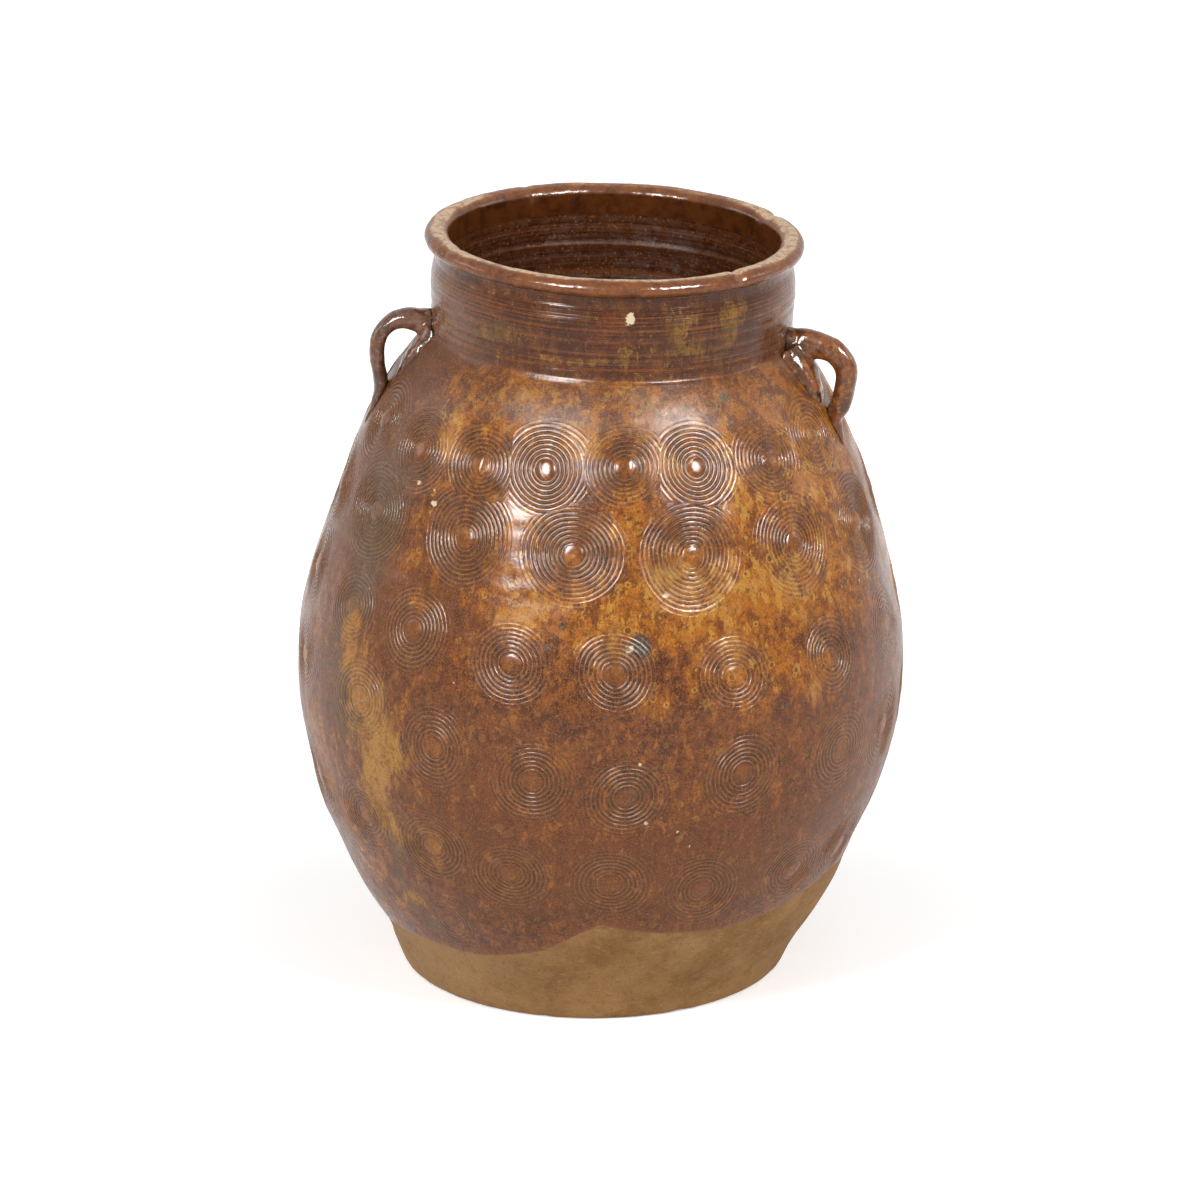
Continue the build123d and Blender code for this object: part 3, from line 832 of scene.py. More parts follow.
def pad_stations(start, broad, bold):
    heights = [start - down * PAD_TALL for down, _, _ in PAD]
    return [
        (skin_at(h) - SUNK, h, w * PAD_WIDTH * broad, max(t * PAD_THICK * bold, 2.5))
        for h, (_, w, t) in zip(heights, PAD)
    ]


def fuse(piece):
    """Melt the strap and its pad into one closed skin."""
    remesh = piece.modifiers.new("fuse", "REMESH")
    remesh.mode = "VOXEL"
    remesh.voxel_size = 0.0008
    remesh.use_smooth_shade = True
    relax = piece.modifiers.new("relax", "CORRECTIVE_SMOOTH")
    relax.factor = 0.5
    relax.iterations = 6
    relax.use_only_smooth = True
    evaluated = piece.evaluated_get(bpy.context.evaluated_depsgraph_get())
    mesh = bpy.data.meshes.new_from_object(evaluated)
    piece.modifiers.clear()
    piece.data = mesh
    mesh.name = piece.name
    mesh.materials.clear()
    return mesh


def read_vectors(mesh, key):
    values = np.empty(len(mesh.vertices) * 3, np.float32)
    mesh.vertices.foreach_get(key, values)
    return values.reshape(-1, 3).astype(float)


def work_by_hand(mesh, seed, lumpy):
    """Lumps and dents in the fused strap, strongest where its pad was pressed on."""
    points, normals = read_vectors(mesh, "co") * MM_PER_M, read_vectors(mesh, "normal")
    bulge = 0.55 * noise3(points, 13.0, seed) + 0.28 * noise3(points, 5.0, seed + 1)
    bulge = bulge + 0.10 * noise3(points, 2.2, seed + 2) - 0.35
    tall = points[:, 2] * LEAN_COS + points[:, 0] * LEAN_SIN
    flat_x = points[:, 0] * LEAN_COS - points[:, 2] * LEAN_SIN
    gap = np.hypot(flat_x, points[:, 1]) - skin_at(tall)
    knobs = 1.1 * noise3(points, 7.5, seed + 3) + 0.55 * noise3(points, 3.4, seed + 4) - 0.3
    bulge += lumpy * smooth(15, 5, gap) * smooth(400, 412, tall) * knobs
    points += normals * bulge[:, None]
    mesh.vertices.foreach_set("co", (points / MM_PER_M).astype(np.float32).ravel())
    mesh.update()
    mesh.polygons.foreach_set("use_smooth", np.ones(len(mesh.polygons), bool))
    add_values(mesh, "knob", bulge)
    add_values(mesh, "gap", gap)


def make_handle(name, azimuth, pad_azimuth, reach, top, drop, thick, broad, bold, seed, lumpy):
    strap = strap_stations(reach, top, drop, thick)
    bm = bmesh.new()
    sweep(bm, azimuth, strap)
    sweep(bm, pad_azimuth, pad_stations(strap[0][1], broad, bold))
    bmesh.ops.recalc_face_normals(bm, faces=bm.faces)
    mesh = bpy.data.meshes.new(name)
    bm.to_mesh(mesh)
    bm.free()
    piece = place_piece(name, mesh)
    work_by_hand(fuse(piece), seed, lumpy)
    return piece


left_handle = make_handle(
    "left_strap", -85.0, -81.0, reach=39.5, top=447.0, drop=80.0, thick=10.5,
    broad=1.25, bold=0.75, seed=50, lumpy=0.9,
)
right_handle = make_handle(
    "right_strap", 75.0, 73.0, reach=45.5, top=444.0, drop=74.0, thick=14.5,
    broad=1.55, bold=1.45, seed=60, lumpy=1.1,
)

# Materials


class Nodes:
    """Short way to write a node tree: a value is a number, a tuple or another node's socket."""

    def __init__(self, owner, output="ShaderNodeOutputMaterial"):
        owner.use_nodes = True
        self.owner = owner
        self.tree = owner.node_tree
        self.tree.nodes.clear()
        self.out = self.tree.nodes.new(output)

    def put(self, socket, value):
        if isinstance(value, bpy.types.NodeSocket):
            self.tree.links.new(value, socket)
        elif isinstance(value, tuple) and len(value) == 3 and socket.type == "RGBA":
            socket.default_value = (*value, 1.0)
        else:
            socket.default_value = value

    def node(self, kind, inputs=None, **props):
        n = self.tree.nodes.new(kind)
        for key, value in props.items():
            setattr(n, key, value)
        for key, value in (inputs or {}).items():
            self.put(n.inputs[key], value)
        return n

    def attr(self, name):
        return self.node("ShaderNodeAttribute", attribute_name=name).outputs["Fac"]

    def place(self, stretch=(1, 1, 1)):
        where = self.node("ShaderNodeTexCoord").outputs["Object"]
        if stretch == (1, 1, 1):
            return where
        return self.node("ShaderNodeMapping", {"Vector": where, "Scale": stretch}).outputs[0]

    def noise(self, scale, detail=4.0, rough=0.55, stretch=(1, 1, 1), distortion=0.0):
        look = {"Scale": scale, "Detail": detail, "Roughness": rough, "Distortion": distortion}
        kind = "ShaderNodeTexNoise"
        return self.node(kind, {"Vector": self.place(stretch), **look}).outputs["Fac"]

    def line_noise(self, along, rate, detail, rough):
        """Noise that changes only along one value, such as the height."""
        look = {"W": self.mul(along, rate), "Scale": 1.0, "Detail": detail, "Roughness": rough}
        return self.node("ShaderNodeTexNoise", look, noise_dimensions="1D").outputs["Fac"]

    def math(self, op, a, b=0.0, c=0.0, clamp=False):
        inputs = {0: a, 1: b, 2: c}
        return self.node("ShaderNodeMath", inputs, operation=op, use_clamp=clamp).outputs[0]

    def mul(self, a, b, clamp=False):
        return self.math("MULTIPLY", a, b, clamp=clamp)

    def add(self, value, *others):
        for other in others:
            value = self.math("ADD", value, other)
        return value

    def swing(self, value, gain):
        """Swing of a noise about its middle, times a gain."""
        return self.mul(self.math("SUBTRACT", value, 0.5), gain)

    def ramp(self, value, low, high, to_low=0.0, to_high=1.0):
        inputs = {"From Min": low, "From Max": high, "To Min": to_low, "To Max": to_high}
        return self.node(
            "ShaderNodeMapRange", {"Value": value, **inputs}, interpolation_type="SMOOTHSTEP"
        ).outputs[0]

    def mix(self, fac, a, b):
        n = self.node("ShaderNodeMix", {0: fac, 6: a, 7: b}, data_type="RGBA")
        return n.outputs[2]

    def layer(self, under, colour, value, low, high, most=1.0):
        """A colour laid over another where a value rises from low to high."""
        return self.mix(self.ramp(value, low, high, 0.0, most), under, colour)

    def seen(self):
        """1 for the rays that should find a white studio: the camera's and mirrored ones."""
        rays = self.node("ShaderNodeLightPath").outputs
        mirrored = self.math("MAXIMUM", rays["Is Glossy Ray"], rays["Is Transmission Ray"])
        return self.math("MAXIMUM", rays["Is Camera Ray"], mirrored)

    def finish(self, colour, roughness, bump_mm, specular):
        inputs = {"Base Color": colour, "Roughness": roughness, "Specular IOR Level": specular}
        relief = {"Height": bump_mm, "Distance": 1 / MM_PER_M, "Strength": 1.0}
        bump = self.node("ShaderNodeBump", relief)
        shader = self.node("ShaderNodeBsdfPrincipled", inputs)
        self.put(shader.inputs["Normal"], bump.outputs[0])
        self.put(self.out.inputs[0], shader.outputs[0])
        return self.owner


# Colours of the bare clay
CLAY, CLAY_PALE, CLAY_STAIN = (0.205, 0.095, 0.024), (0.295, 0.155, 0.050), (0.140, 0.046, 0.010)
# CLAY_LIT is painted light for the clay's left side
CLAY_LIT, CLAY_BUFF = (0.38, 0.225, 0.105), (0.34, 0.20, 0.085)
IRON_GRIT, WHITE_GRIT = (0.085, 0.032, 0.012), (0.5, 0.36, 0.20)

# Colours of the body's glaze, from its brown ground up to the marks on top
RED_BROWN, DEEP_BROWN = (0.158, 0.038, 0.006), (0.056, 0.013, 0.003)
WARM_BROWN = (0.24, 0.078, 0.016)
FLECK_LIGHT, FLECK_DARK = (0.27, 0.092, 0.020), (0.040, 0.009, 0.002)
PLUM_BROWN, PLUM_DARK = (0.145, 0.043, 0.011), (0.070, 0.022, 0.009)
AMBER_LIGHT, AMBER_DEEP = (0.375, 0.118, 0.007), (0.155, 0.038, 0.003)
AMBER_FLECK = (0.12, 0.032, 0.006)
GOLD, HALO, OIL_SPOT = (0.47, 0.220, 0.030), (0.50, 0.25, 0.04), (0.075, 0.020, 0.006)
ASH_GREY, ASH_DARK = (0.125, 0.070, 0.033), (0.052, 0.028, 0.014)
OCHRE_LOW, OCHRE_HIGH, OCHRE_NECK = (0.42, 0.205, 0.042), (0.46, 0.185, 0.022), (0.36, 0.185, 0.028)
OCHRE_FLECK = (0.22, 0.080, 0.012)
# The neck's pale second colour is a painted sheen for its sides
NECK_DARK, NECK_PAINTED_SHEEN = (0.030, 0.007, 0.001), (0.27, 0.135, 0.080)
BAND_DARK = (0.070, 0.018, 0.004)
LINE_LIGHT, LINE_DARK = (0.26, 0.080, 0.016), (0.034, 0.008, 0.002)
GROOVE_POOL_AND_SHADE, RIDGE_WEAR_AND_HIGHLIGHT, BOSS_LIGHT = (0.030, 0.010, 0.004), (0.50, 0.26, 0.080), (0.38, 0.14, 0.035)
GRAIN_DARK, GRAIN_LIGHT = (0.022, 0.006, 0.002), (0.42, 0.19, 0.050)
SPECK_DARK, SPECK_LIGHT, EMBER = (0.035, 0.012, 0.006), (0.46, 0.27, 0.11), (0.40, 0.135, 0.028)
CHIP_DARK, CHIP_GREY, CREAM = (0.022, 0.015, 0.009), (0.115, 0.085, 0.055), (0.62, 0.50, 0.33)
GLAZE_END = (0.205, 0.064, 0.017)

# Colours of the rim, of the inside and of the handles' shadows
RIM_LIGHT, RIM_DARK, RIM_FLECK = (0.185, 0.056, 0.013), (0.095, 0.027, 0.007), (0.32, 0.125, 0.036)
# The rubbed and bare rim colours are real wear, and a painted sheen where the crest widens at the
# sides
RIM_RUBBED_AND_SHEEN, RIM_BARE_AND_SHEEN, RIM_SPECK = (0.34, 0.17, 0.075), (0.53, 0.38, 0.24), (0.04, 0.014, 0.007)
MOUTH_LIGHT, MOUTH_DARK = (0.080, 0.021, 0.004), (0.036, 0.009, 0.002)
INSIDE_LIGHT, INSIDE_DARK = (0.160, 0.042, 0.008), (0.036, 0.010, 0.003)
INSIDE_WARM, INSIDE_SHADE = (0.165, 0.050, 0.011), (0.020, 0.004, 0.001)
INSIDE_SPECK = (0.30, 0.17, 0.07)
HOLLOW_SHADE, SEAM_SHADE = (0.030, 0.011, 0.006), (0.012, 0.005, 0.003)
HANDLE_SPECK = (0.035, 0.013, 0.007)


def clay_colour(n):
    """Bare stoneware: buff brown, with iron stains and grit, and painted light that makes it paler
    at the left.
    """
    across = n.node("ShaderNodeSeparateXYZ", {"Vector": n.place()}).outputs["X"]
    colour = n.layer(CLAY, CLAY_PALE, n.noise(26, 7, 0.68), 0.38, 0.66)
    # Painted light: the clay is lighter on its left side
    left = n.add(across, n.swing(n.noise(26, 7, 0.68), 0.05))
    colour = n.layer(colour, CLAY_LIT, left, 0.0, -0.12, 0.60)
    colour = n.layer(colour, CLAY_STAIN, n.noise(60, 8, 0.70), 0.50, 0.68, 0.45)
    colour = n.layer(colour, CLAY_BUFF, n.noise(150, 6, 0.7, (1, 1, 2.5)), 0.5, 0.66, 0.35)
    colour = n.layer(colour, IRON_GRIT, n.noise(420, 4, 0.7), 0.56, 0.68, 0.55)
    return n.layer(colour, WHITE_GRIT, n.noise(800, 2), 0.62, 0.72, 0.4)


def glaze_masks(n):
    """The noises of the body's glaze, and where each of its layers lies."""
    m = SimpleNamespace(height=n.attr("height"), ring=n.attr("ring"), ash=n.attr("ash"))
    m.blotch = n.noise(34, 7, 0.66)
    m.mottle = n.noise(100, 9, 0.74, distortion=0.5)
    m.fleck = n.noise(270, 8, 0.76)
    m.speck = n.noise(620, 4, 0.65)
    m.grain = n.noise(1000, 3, 0.6)
    m.run = n.noise(120, 9, 0.72, (1, 1, 0.30))

    m.neck = n.ramp(m.height, 427.0, 441.0)
    m.below_neck = n.math("SUBTRACT", 1.0, m.neck)
    m.bare_band = n.mul(n.ramp(m.height, 398.0, 410.0), m.below_neck)
    m.plum = n.mul(n.attr("plum"), n.ramp(m.blotch, 0.25, 0.75, 0.6, 1.15), clamp=True)

    ragged = n.add(n.swing(m.run, 2.6), n.swing(m.fleck, 1.4), n.swing(m.mottle, 1.4))
    amber_at = n.add(n.attr("amber"), ragged, n.swing(m.blotch, 1.5), n.mul(m.ring, -0.16))
    m.amber = n.ramp(amber_at, 0.20, 0.60)

    drips = n.swing(n.noise(190, 8, 0.76, (1, 1, 0.45)), 2.8)
    ochre_at = n.add(n.attr("ochre"), drips, n.swing(m.speck, 0.8))
    lined = n.add(ochre_at, n.swing(n.line_noise(m.height, 0.95, 6.0, 0.85), 1.2))
    soft_edge, crisp_edge = n.ramp(ochre_at, 0.20, 0.80), n.ramp(lined, 0.26, 0.42)
    m.ochre = n.add(n.mul(soft_edge, m.below_neck), n.mul(crisp_edge, m.neck))

    m.turned = n.add(n.line_noise(m.height, 0.50, 3.0, 0.7), n.swing(m.fleck, 0.6))
    m.wave = n.math("COSINE", n.mul(n.attr("phase"), 2 * math.pi))
    m.broken = n.ramp(n.noise(210, 4, 0.7), 0.35, 0.60, 0.35, 1.1)
    m.ragged = n.swing(n.noise(330, 6, 0.75), 2.6)
    m.edge = n.add(n.attr("glaze"), n.swing(n.noise(240, 6, 0.65), 3.6))
    m.glazed = n.ramp(m.edge, -0.5, 0.5)
    return m


def brown_ground(n, m):
    colour = n.layer(RED_BROWN, DEEP_BROWN, m.mottle, 0.40, 0.60)
    colour = n.layer(colour, WARM_BROWN, m.run, 0.50, 0.60, 0.62)
    colour = n.layer(colour, FLECK_LIGHT, m.fleck, 0.51, 0.62, 0.60)
    colour = n.layer(colour, FLECK_DARK, m.fleck, 0.47, 0.38, 0.55)
    plum = n.layer(PLUM_BROWN, PLUM_DARK, m.fleck, 0.46, 0.62, 0.55)
    return n.mix(n.mul(m.plum, 0.75), colour, plum)


def amber_runs(n, m, colour):
    amber = n.layer(AMBER_LIGHT, AMBER_DEEP, m.mottle, 0.44, 0.58)
    amber = n.layer(amber, AMBER_FLECK, m.fleck, 0.52, 0.62, 0.65)
    gold_at = n.swing(n.noise(160, 8, 0.74, (1, 1, 0.5)), 2.4)
    gold_at = n.add(gold_at, n.mul(n.attr("amber"), 0.22))
    return n.mix(m.amber, colour, n.layer(amber, GOLD, gold_at, 0.27, 0.37, 0.88))


def oil_spots(n, m, colour):
    """Small dark spots with a golden halo, in about a third of the cells."""
    cells = n.node("ShaderNodeTexVoronoi", {"Vector": n.place(), "Scale": 120.0, "Randomness": 1.0})
    chosen = n.node("ShaderNodeSeparateColor", {"Color": cells.outputs["Color"]}).outputs
    spot = n.add(cells.outputs["Distance"], n.swing(m.speck, 0.25))
    past_edge = n.math("SUBTRACT", spot, n.ramp(chosen[1], 0.2, 1.0, 0.10, 0.30))
    here = n.mul(n.ramp(chosen[0], 0.62, 0.70), n.add(m.amber, 0.25), clamp=True)
    colour = n.mix(n.mul(n.ramp(past_edge, 0.10, 0.02, 0.0, 0.75), here), colour, HALO)
    return n.mix(n.mul(n.ramp(past_edge, 0.0, -0.05, 0.0, 0.85), here), colour, OIL_SPOT)


def ash_and_ochre(n, m, colour):
    ash_at = n.add(m.ash, n.swing(m.run, 1.6), n.swing(m.fleck, 1.0))
    ash = n.layer(ASH_GREY, ASH_DARK, m.fleck, 0.44, 0.60)
    colour = n.layer(colour, ash, ash_at, 0.2, 0.8, 0.85)
    ochre = n.layer(OCHRE_LOW, OCHRE_HIGH, m.height, 225.0, 255.0)
    ochre = n.mix(m.neck, ochre, OCHRE_NECK)
    ochre = n.layer(ochre, OCHRE_FLECK, n.add(m.fleck, n.swing(m.run, 0.8)), 0.44, 0.64)
    return n.mix(n.mul(m.ochre, 0.90), colour, ochre)


def neck_tones(n, m, colour):
    """The neck is darker, with a painted milky sheen at its sides, lined by the wheel, with a bare
    band below.
    """
    colour = n.mix(n.mul(m.neck, n.ramp(m.blotch, 0.40, 0.60, 0.22, 0.72)), colour, NECK_DARK)
    # Painted sheen: a pale milky tone on the neck's sides, where the plum patches lie
    colour = n.mix(n.mul(n.mul(m.neck, m.plum), 0.50), colour, NECK_PAINTED_SHEEN)
    kept = n.mul(n.ramp(n.noise(45, 5, 0.65, (1, 1, 3)), 0.38, 0.60, 0.25, 1.0), m.neck)
    colour = n.mix(n.mul(n.ramp(m.turned, 0.48, 0.38, 0.0, 0.55), kept), colour, LINE_LIGHT)
    colour = n.mix(n.mul(n.ramp(m.turned, 0.50, 0.62, 0.0, 0.80), kept), colour, LINE_DARK)
    banded = n.mul(m.bare_band, n.ramp(m.mottle, 0.40, 0.58, 0.25, 0.62))
    return n.mix(banded, colour, BAND_DARK)


def ring_tones(n, m, colour):
    """Glaze pools dark in the stamps' grooves and wears golden on their ridges and bosses; the dark
    grooves are partly painted shade and the light ridges partly painted highlight.
    """
    # Partly painted light: darker grooves as painted shade, lighter ridges as painted highlight
    groove = n.mul(n.ramp(m.wave, 0.0, -0.9), n.mul(m.ring, 1.15, clamp=True))
    ridge = n.mul(n.ramp(m.wave, 0.55, 0.95), m.ring)
    for where, strength, depth, tone in (
        (n.mul(groove, m.broken), 0.80, 0.65, GROOVE_POOL_AND_SHADE),
        (n.mul(ridge, m.broken), 0.72, 0.5, RIDGE_WEAR_AND_HIGHLIGHT),
        (n.attr("boss"), 0.35, 0.5, BOSS_LIGHT),
    ):
        colour = n.mix(n.mul(where, strength, clamp=True), colour, n.mix(depth, colour, tone))
    return colour


def specks(n, m, colour):
    colour = n.layer(colour, GRAIN_DARK, m.grain, 0.44, 0.60, 0.30)
    sparks = n.ramp(n.noise(1250, 2, 0.5), 0.54, 0.66, 0.0, 0.35)
    colour = n.mix(n.mul(sparks, m.below_neck), colour, GRAIN_LIGHT)
    colour = n.layer(colour, SPECK_DARK, m.speck, 0.56, 0.66, 0.55)
    colour = n.layer(colour, SPECK_LIGHT, n.noise(720, 4, 0.7), 0.62, 0.70, 0.50)
    embers = n.ramp(n.noise(130, 7, 0.80, (1, 1, 0.6)), 0.555, 0.625, 0.0, 0.50)
    colour = n.mix(n.mul(embers, n.ramp(m.height, 330.0, 250.0)), colour, EMBER)
    chip = n.layer(CHIP_DARK, CHIP_GREY, m.speck, 0.45, 0.6)
    colour = n.layer(colour, chip, n.add(n.attr("dark"), m.ragged), 0.40, 0.75, 0.88)
    return n.layer(colour, CREAM, n.add(n.attr("pale"), m.ragged), 0.50, 0.72, 0.92)


def body_roughness(n, m):
    low_wall = n.ramp(m.height, 300.0, 180.0, 0.0, 0.10)
    duller = n.add(n.mul(m.bare_band, 0.17), n.mul(m.plum, 0.08), n.mul(m.ochre, 0.10))
    glossy = n.ramp(n.noise(130, 7, 0.7), 0.3, 0.7, 0.12, 0.25)
    glossy = n.add(glossy, low_wall, duller, n.mul(m.ash, 0.12))
    bare = n.mul(n.math("SUBTRACT", 1.0, m.glazed), 0.82)
    return n.math("ADD", n.mul(glossy, m.glazed), bare, clamp=True)


def body_bump(n, m):
    """Relief in millimetres: the fine edge of the rings, orange peel and the neck's lines."""
    sharp = n.math("POWER", n.math("MULTIPLY_ADD", m.wave, 0.5, 0.5), 3.6)
    rings = n.mul(n.mul(n.mul(sharp, m.ring), m.broken), 0.52)
    skin = n.add(n.mul(m.fleck, 0.110), n.mul(m.grain, 0.026), n.mul(n.noise(110, 3), 0.28))
    return n.add(rings, skin, n.mul(n.mul(m.turned, m.neck), -0.16))


def body_glaze(name):
    """Runny iron glaze: dark red brown broken by amber, gold, ash, plum and specks, over clay."""
    n = Nodes(bpy.data.materials.new(name))
    m = glaze_masks(n)
    colour = brown_ground(n, m)
    for lay in (amber_runs, oil_spots, ash_and_ochre, neck_tones, ring_tones, specks):
        colour = lay(n, m, colour)
    colour = n.layer(colour, GLAZE_END, m.edge, 6.0, 0.0, 0.5)
    colour = n.mix(m.glazed, clay_colour(n), colour)
    return n.finish(colour, body_roughness(n, m), body_bump(n, m), 0.25)


def clay_foot(name):
    n = Nodes(bpy.data.materials.new(name))
    colour = n.layer(clay_colour(n), CLAY_STAIN, n.attr("dark"), 0.1, 0.6, 0.5)
    bump = n.add(n.mul(n.noise(300, 4), 0.35), n.mul(n.noise(900, 3), 0.12))
    return n.finish(colour, n.ramp(n.noise(150, 3), 0.3, 0.7, 0.74, 0.9), bump, 0.25)


def rim_glaze(name):
    """Iron glaze, rubbed through to pale clay along the crest, where painted sheen widens the pale
    band at the sides, and dark towards the inside.
    """
    n = Nodes(bpy.data.materials.new(name))
    mottle = n.noise(90, 8, 0.72)
    colour = n.layer(RIM_LIGHT, RIM_DARK, mottle, 0.40, 0.66)
    colour = n.layer(colour, RIM_FLECK, n.noise(270, 7, 0.74), 0.52, 0.64, 0.40)
    # The pale crest is real wear, and painted sheen where it widens at the sides
    wear_and_sheen_at = n.add(n.attr("wear_and_side_sheen"), n.swing(n.noise(230, 6, 0.70), 1.1))
    colour = n.layer(colour, RIM_RUBBED_AND_SHEEN, wear_and_sheen_at, 0.50, 0.95, 0.70)
    colour = n.layer(colour, RIM_BARE_AND_SHEEN, wear_and_sheen_at, 0.86, 1.04, 0.9)
    colour = n.layer(colour, RIM_SPECK, n.noise(560, 4, 0.65), 0.56, 0.66, 0.5)
    deep = n.layer(MOUTH_LIGHT, MOUTH_DARK, mottle, 0.40, 0.66)
    colour = n.mix(n.mul(n.attr("inside"), 0.92), colour, deep)
    rough = n.add(n.ramp(n.noise(150, 5), 0.3, 0.7, 0.13, 0.26), n.mul(n.attr("wear_and_side_sheen"), 0.25))
    bump = n.add(n.mul(n.noise(260, 5, 0.65), 0.10), n.mul(n.noise(900, 3), 0.02))
    return n.finish(colour, rough, bump, 0.30)


def inner_glaze(name):
    """The inside: darker, lined by the wheel and shaded under the rim."""
    n = Nodes(bpy.data.materials.new(name))
    height = n.attr("height")
    wheel = n.line_noise(height, 0.30, 6.0, 0.75)
    lined = n.add(wheel, n.swing(n.noise(270, 7, 0.74), 0.4))
    colour = n.layer(INSIDE_LIGHT, INSIDE_DARK, lined, 0.38, 0.62)
    colour = n.layer(colour, INSIDE_WARM, n.noise(60, 8, 0.70), 0.48, 0.66, 0.55)
    colour = n.layer(colour, INSIDE_SHADE, height, 415.0, 455.0, 0.50)
    colour = n.layer(colour, INSIDE_SPECK, n.noise(560, 4), 0.58, 0.68, 0.45)
    bump = n.add(n.mul(n.noise(260, 5), 0.12), n.mul(wheel, 0.25))
    return n.finish(colour, n.ramp(n.noise(140, 5), 0.3, 0.7, 0.22, 0.40), bump, 0.30)


def handle_glaze(name, light, dark, warm_and_sheen):
    n = Nodes(bpy.data.materials.new(name))
    colour = n.layer(light, dark, n.noise(110, 8, 0.70), 0.40, 0.62)
    # Painted shade: darker in the strap's dents
    colour = n.layer(colour, HOLLOW_SHADE, n.attr("knob"), 0.0, -0.9, 0.55)
    # The third colour is a warm tone on the right handle and a painted sheen on the left one
    colour = n.layer(colour, warm_and_sheen, n.noise(240, 6, 0.7), 0.50, 0.66, 0.55)
    colour = n.layer(colour, HANDLE_SPECK, n.noise(560, 4), 0.57, 0.67, 0.5)
    seam = n.add(n.attr("gap"), n.swing(n.noise(420, 4), 1.4))
    # Painted shade: darker where the strap and its pad meet the wall
    colour = n.layer(colour, SEAM_SHADE, seam, 2.0, 0.7, 0.93)
    bump = n.add(n.mul(n.noise(260, 5), 0.16), n.mul(n.noise(900, 3), 0.02))
    return n.finish(colour, n.ramp(n.noise(200, 5), 0.3, 0.7, 0.12, 0.24), bump, 0.40)


body_material = body_glaze("iron_glaze_body")
clay_material = clay_foot("bare_stoneware")
rim_material = rim_glaze("worn_rim_glaze")
inner_material = inner_glaze("inside_glaze")
# The left handle's third colour is a pale plum painted sheen
left_material = handle_glaze(
    "handle_glaze_left", (0.200, 0.085, 0.046), (0.095, 0.036, 0.018), (0.31, 0.165, 0.095)
)
right_material = handle_glaze(
    "handle_glaze_right", (0.22, 0.068, 0.014), (0.085, 0.024, 0.007), (0.40, 0.16, 0.035)
)

FINISH = {
    "floor_disc": ("bare_clay", clay_material, inner_material),
    "lower_wall": ("glazed_body", body_material, inner_material),
    "belly_wall": ("glazed_body", body_material, inner_material),
    "shoulder_wall": ("glazed_body", body_material, inner_material),
    "neck_collar": ("glazed_neck", body_material, inner_material),
    "rolled_rim": ("worn_rim", rim_material, body_material),
    "left_handle": ("glazed_handle", left_material),
    "right_handle": ("glazed_handle", right_material),
}
all_pieces = {**skin_pieces, "left_handle": left_handle, "right_handle": right_handle}
for node, piece in all_pieces.items():
    slot, *materials = FINISH[node]
    for material in materials:
        piece.data.materials.append(material)
    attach(piece, "root")
    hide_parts(node)

# Floor, light and camera, in metres

FLOOR_HALF = 30
FLOOR_GREY, AMBIENT = (0.84, 0.84, 0.84), 0.44
WHITE = (1, 1, 1)
AIM_H, LAMP_DISTANCE = 0.3, 2.6
CAMERA_LENS, CAMERA_SENSOR = 192.1, 36
CAMERA_AT, CAMERA_DOWN, CAMERA_TURN = (0, -4.0, 1.623), 18.99, -0.089


def floor_material():
    """Pale floor that keeps the shadow and glows to white further off, for seen rays only."""
    n = Nodes(bpy.data.materials.new("pale_floor"))
    diffuse = n.node("ShaderNodeBsdfDiffuse", {"Color": FLOOR_GREY})
    away = n.node("ShaderNodeVectorMath", {0: n.place()}, operation="LENGTH").outputs["Value"]
    strength = n.ramp(away, 0.10, 1.5, 0.36, 0.70)
    glow = n.node("ShaderNodeEmission", {"Color": WHITE, "Strength": strength})
    nothing = n.node("ShaderNodeEmission", {"Strength": 0.0})
    choose = {0: n.seen(), 1: nothing.outputs[0], 2: glow.outputs[0]}
    choose = n.node("ShaderNodeMixShader", choose)
    total = n.node("ShaderNodeAddShader", {0: diffuse.outputs[0], 1: choose.outputs[0]})
    n.put(n.out.inputs[0], total.outputs[0])
    return n.owner


def studio_world():
    """Plain ambient light that looks white to the camera and in reflections."""
    n = Nodes(bpy.data.worlds.new("studio"), "ShaderNodeOutputWorld")
    ambient = n.node("ShaderNodeBackground", {0: WHITE, 1: AMBIENT})
    white = n.node("ShaderNodeBackground", {0: WHITE, 1: 1.0})
    blend = {0: n.seen(), 1: ambient.outputs[0], 2: white.outputs[0]}
    n.put(n.out.inputs[0], n.node("ShaderNodeMixShader", blend).outputs[0])
    return n.owner


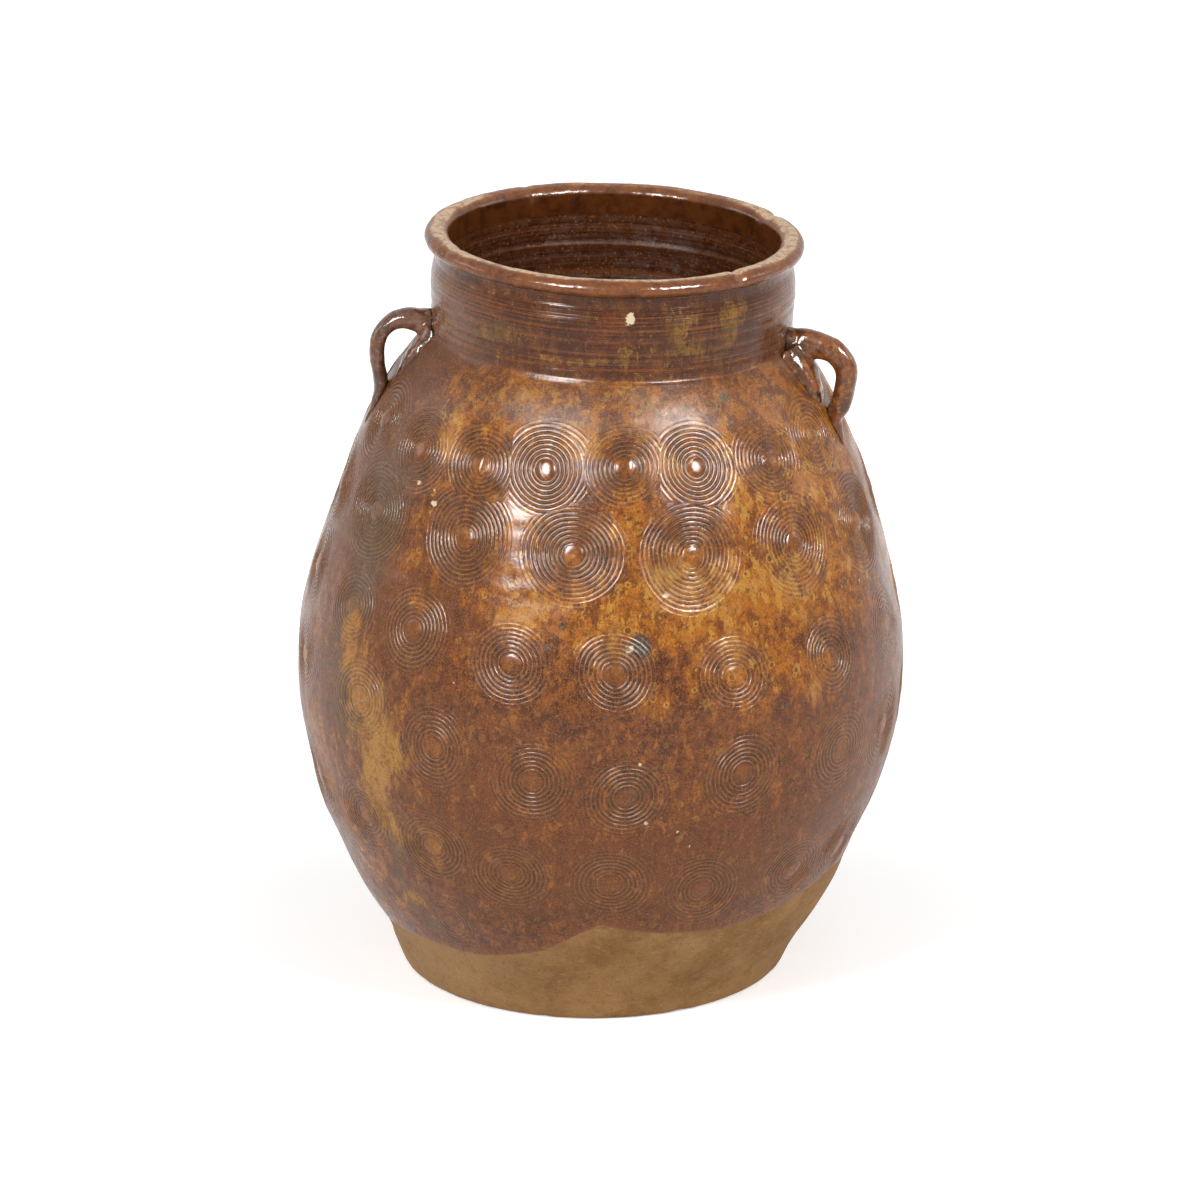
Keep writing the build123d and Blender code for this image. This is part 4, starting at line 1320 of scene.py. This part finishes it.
def softbox(name, azimuth, elevation, width, height, watts, lights=True, shines=False):
    """Area lamp aimed at the jar; it can light surfaces, shine in their gloss, or both."""
    light = bpy.data.lights.new(name, "AREA")
    light.shape = "RECTANGLE"
    light.size, light.size_y = width, height
    light.energy = watts
    lamp = bpy.data.objects.new(name, light)
    a, e = math.radians(azimuth), math.radians(elevation)
    towards = Vector((math.sin(a) * math.cos(e), -math.cos(a) * math.cos(e), math.sin(e)))
    lamp.location = Vector((0, 0, AIM_H)) + LAMP_DISTANCE * towards
    lamp.rotation_euler = (-towards).to_track_quat("-Z", "Y").to_euler()
    lamp.visible_diffuse = lights
    lamp.visible_glossy = shines
    bpy.context.scene.collection.objects.link(lamp)


def photo_camera():
    data = bpy.data.cameras.new("camera")
    data.lens = CAMERA_LENS
    data.sensor_width = CAMERA_SENSOR
    data.clip_end = 100
    camera = bpy.data.objects.new("camera", data)
    bpy.context.scene.collection.objects.link(camera)
    camera.location = CAMERA_AT
    camera.rotation_euler = (math.radians(90 - CAMERA_DOWN), 0, math.radians(CAMERA_TURN))
    return camera


floor_mesh = bpy.data.meshes.new("studio_floor")
corners = [(-1, -1), (1, -1), (1, 1), (-1, 1)]
floor_points = [(x * FLOOR_HALF, y * FLOOR_HALF, 0) for x, y in corners]
floor_mesh.from_pydata(floor_points, [], [(0, 1, 2, 3)])
floor_mesh.materials.append(floor_material())
floor = place_piece("studio_floor", floor_mesh)
bpy.context.scene.world = studio_world()

# Two keys light the jar, two taller cards only shine in its glaze, and a weak pair at the
# sides does both
softbox("key_left", -36, 36, 0.5, 0.8, 36)
softbox("key_right", 45, 37, 0.45, 0.8, 34)
softbox("card_left", -32, 34, 0.66, 1.05, 165, lights=False, shines=True)
softbox("card_right", 43, 36, 0.60, 0.85, 150, lights=False, shines=True)
softbox("side_left", -98, 22, 1.0, 0.9, 10, shines=True)
softbox("side_right", 98, 22, 0.9, 0.9, 9, shines=True)

bpy.context.scene.camera = photo_camera()
bpy.context.scene.view_settings.view_transform = "Standard"
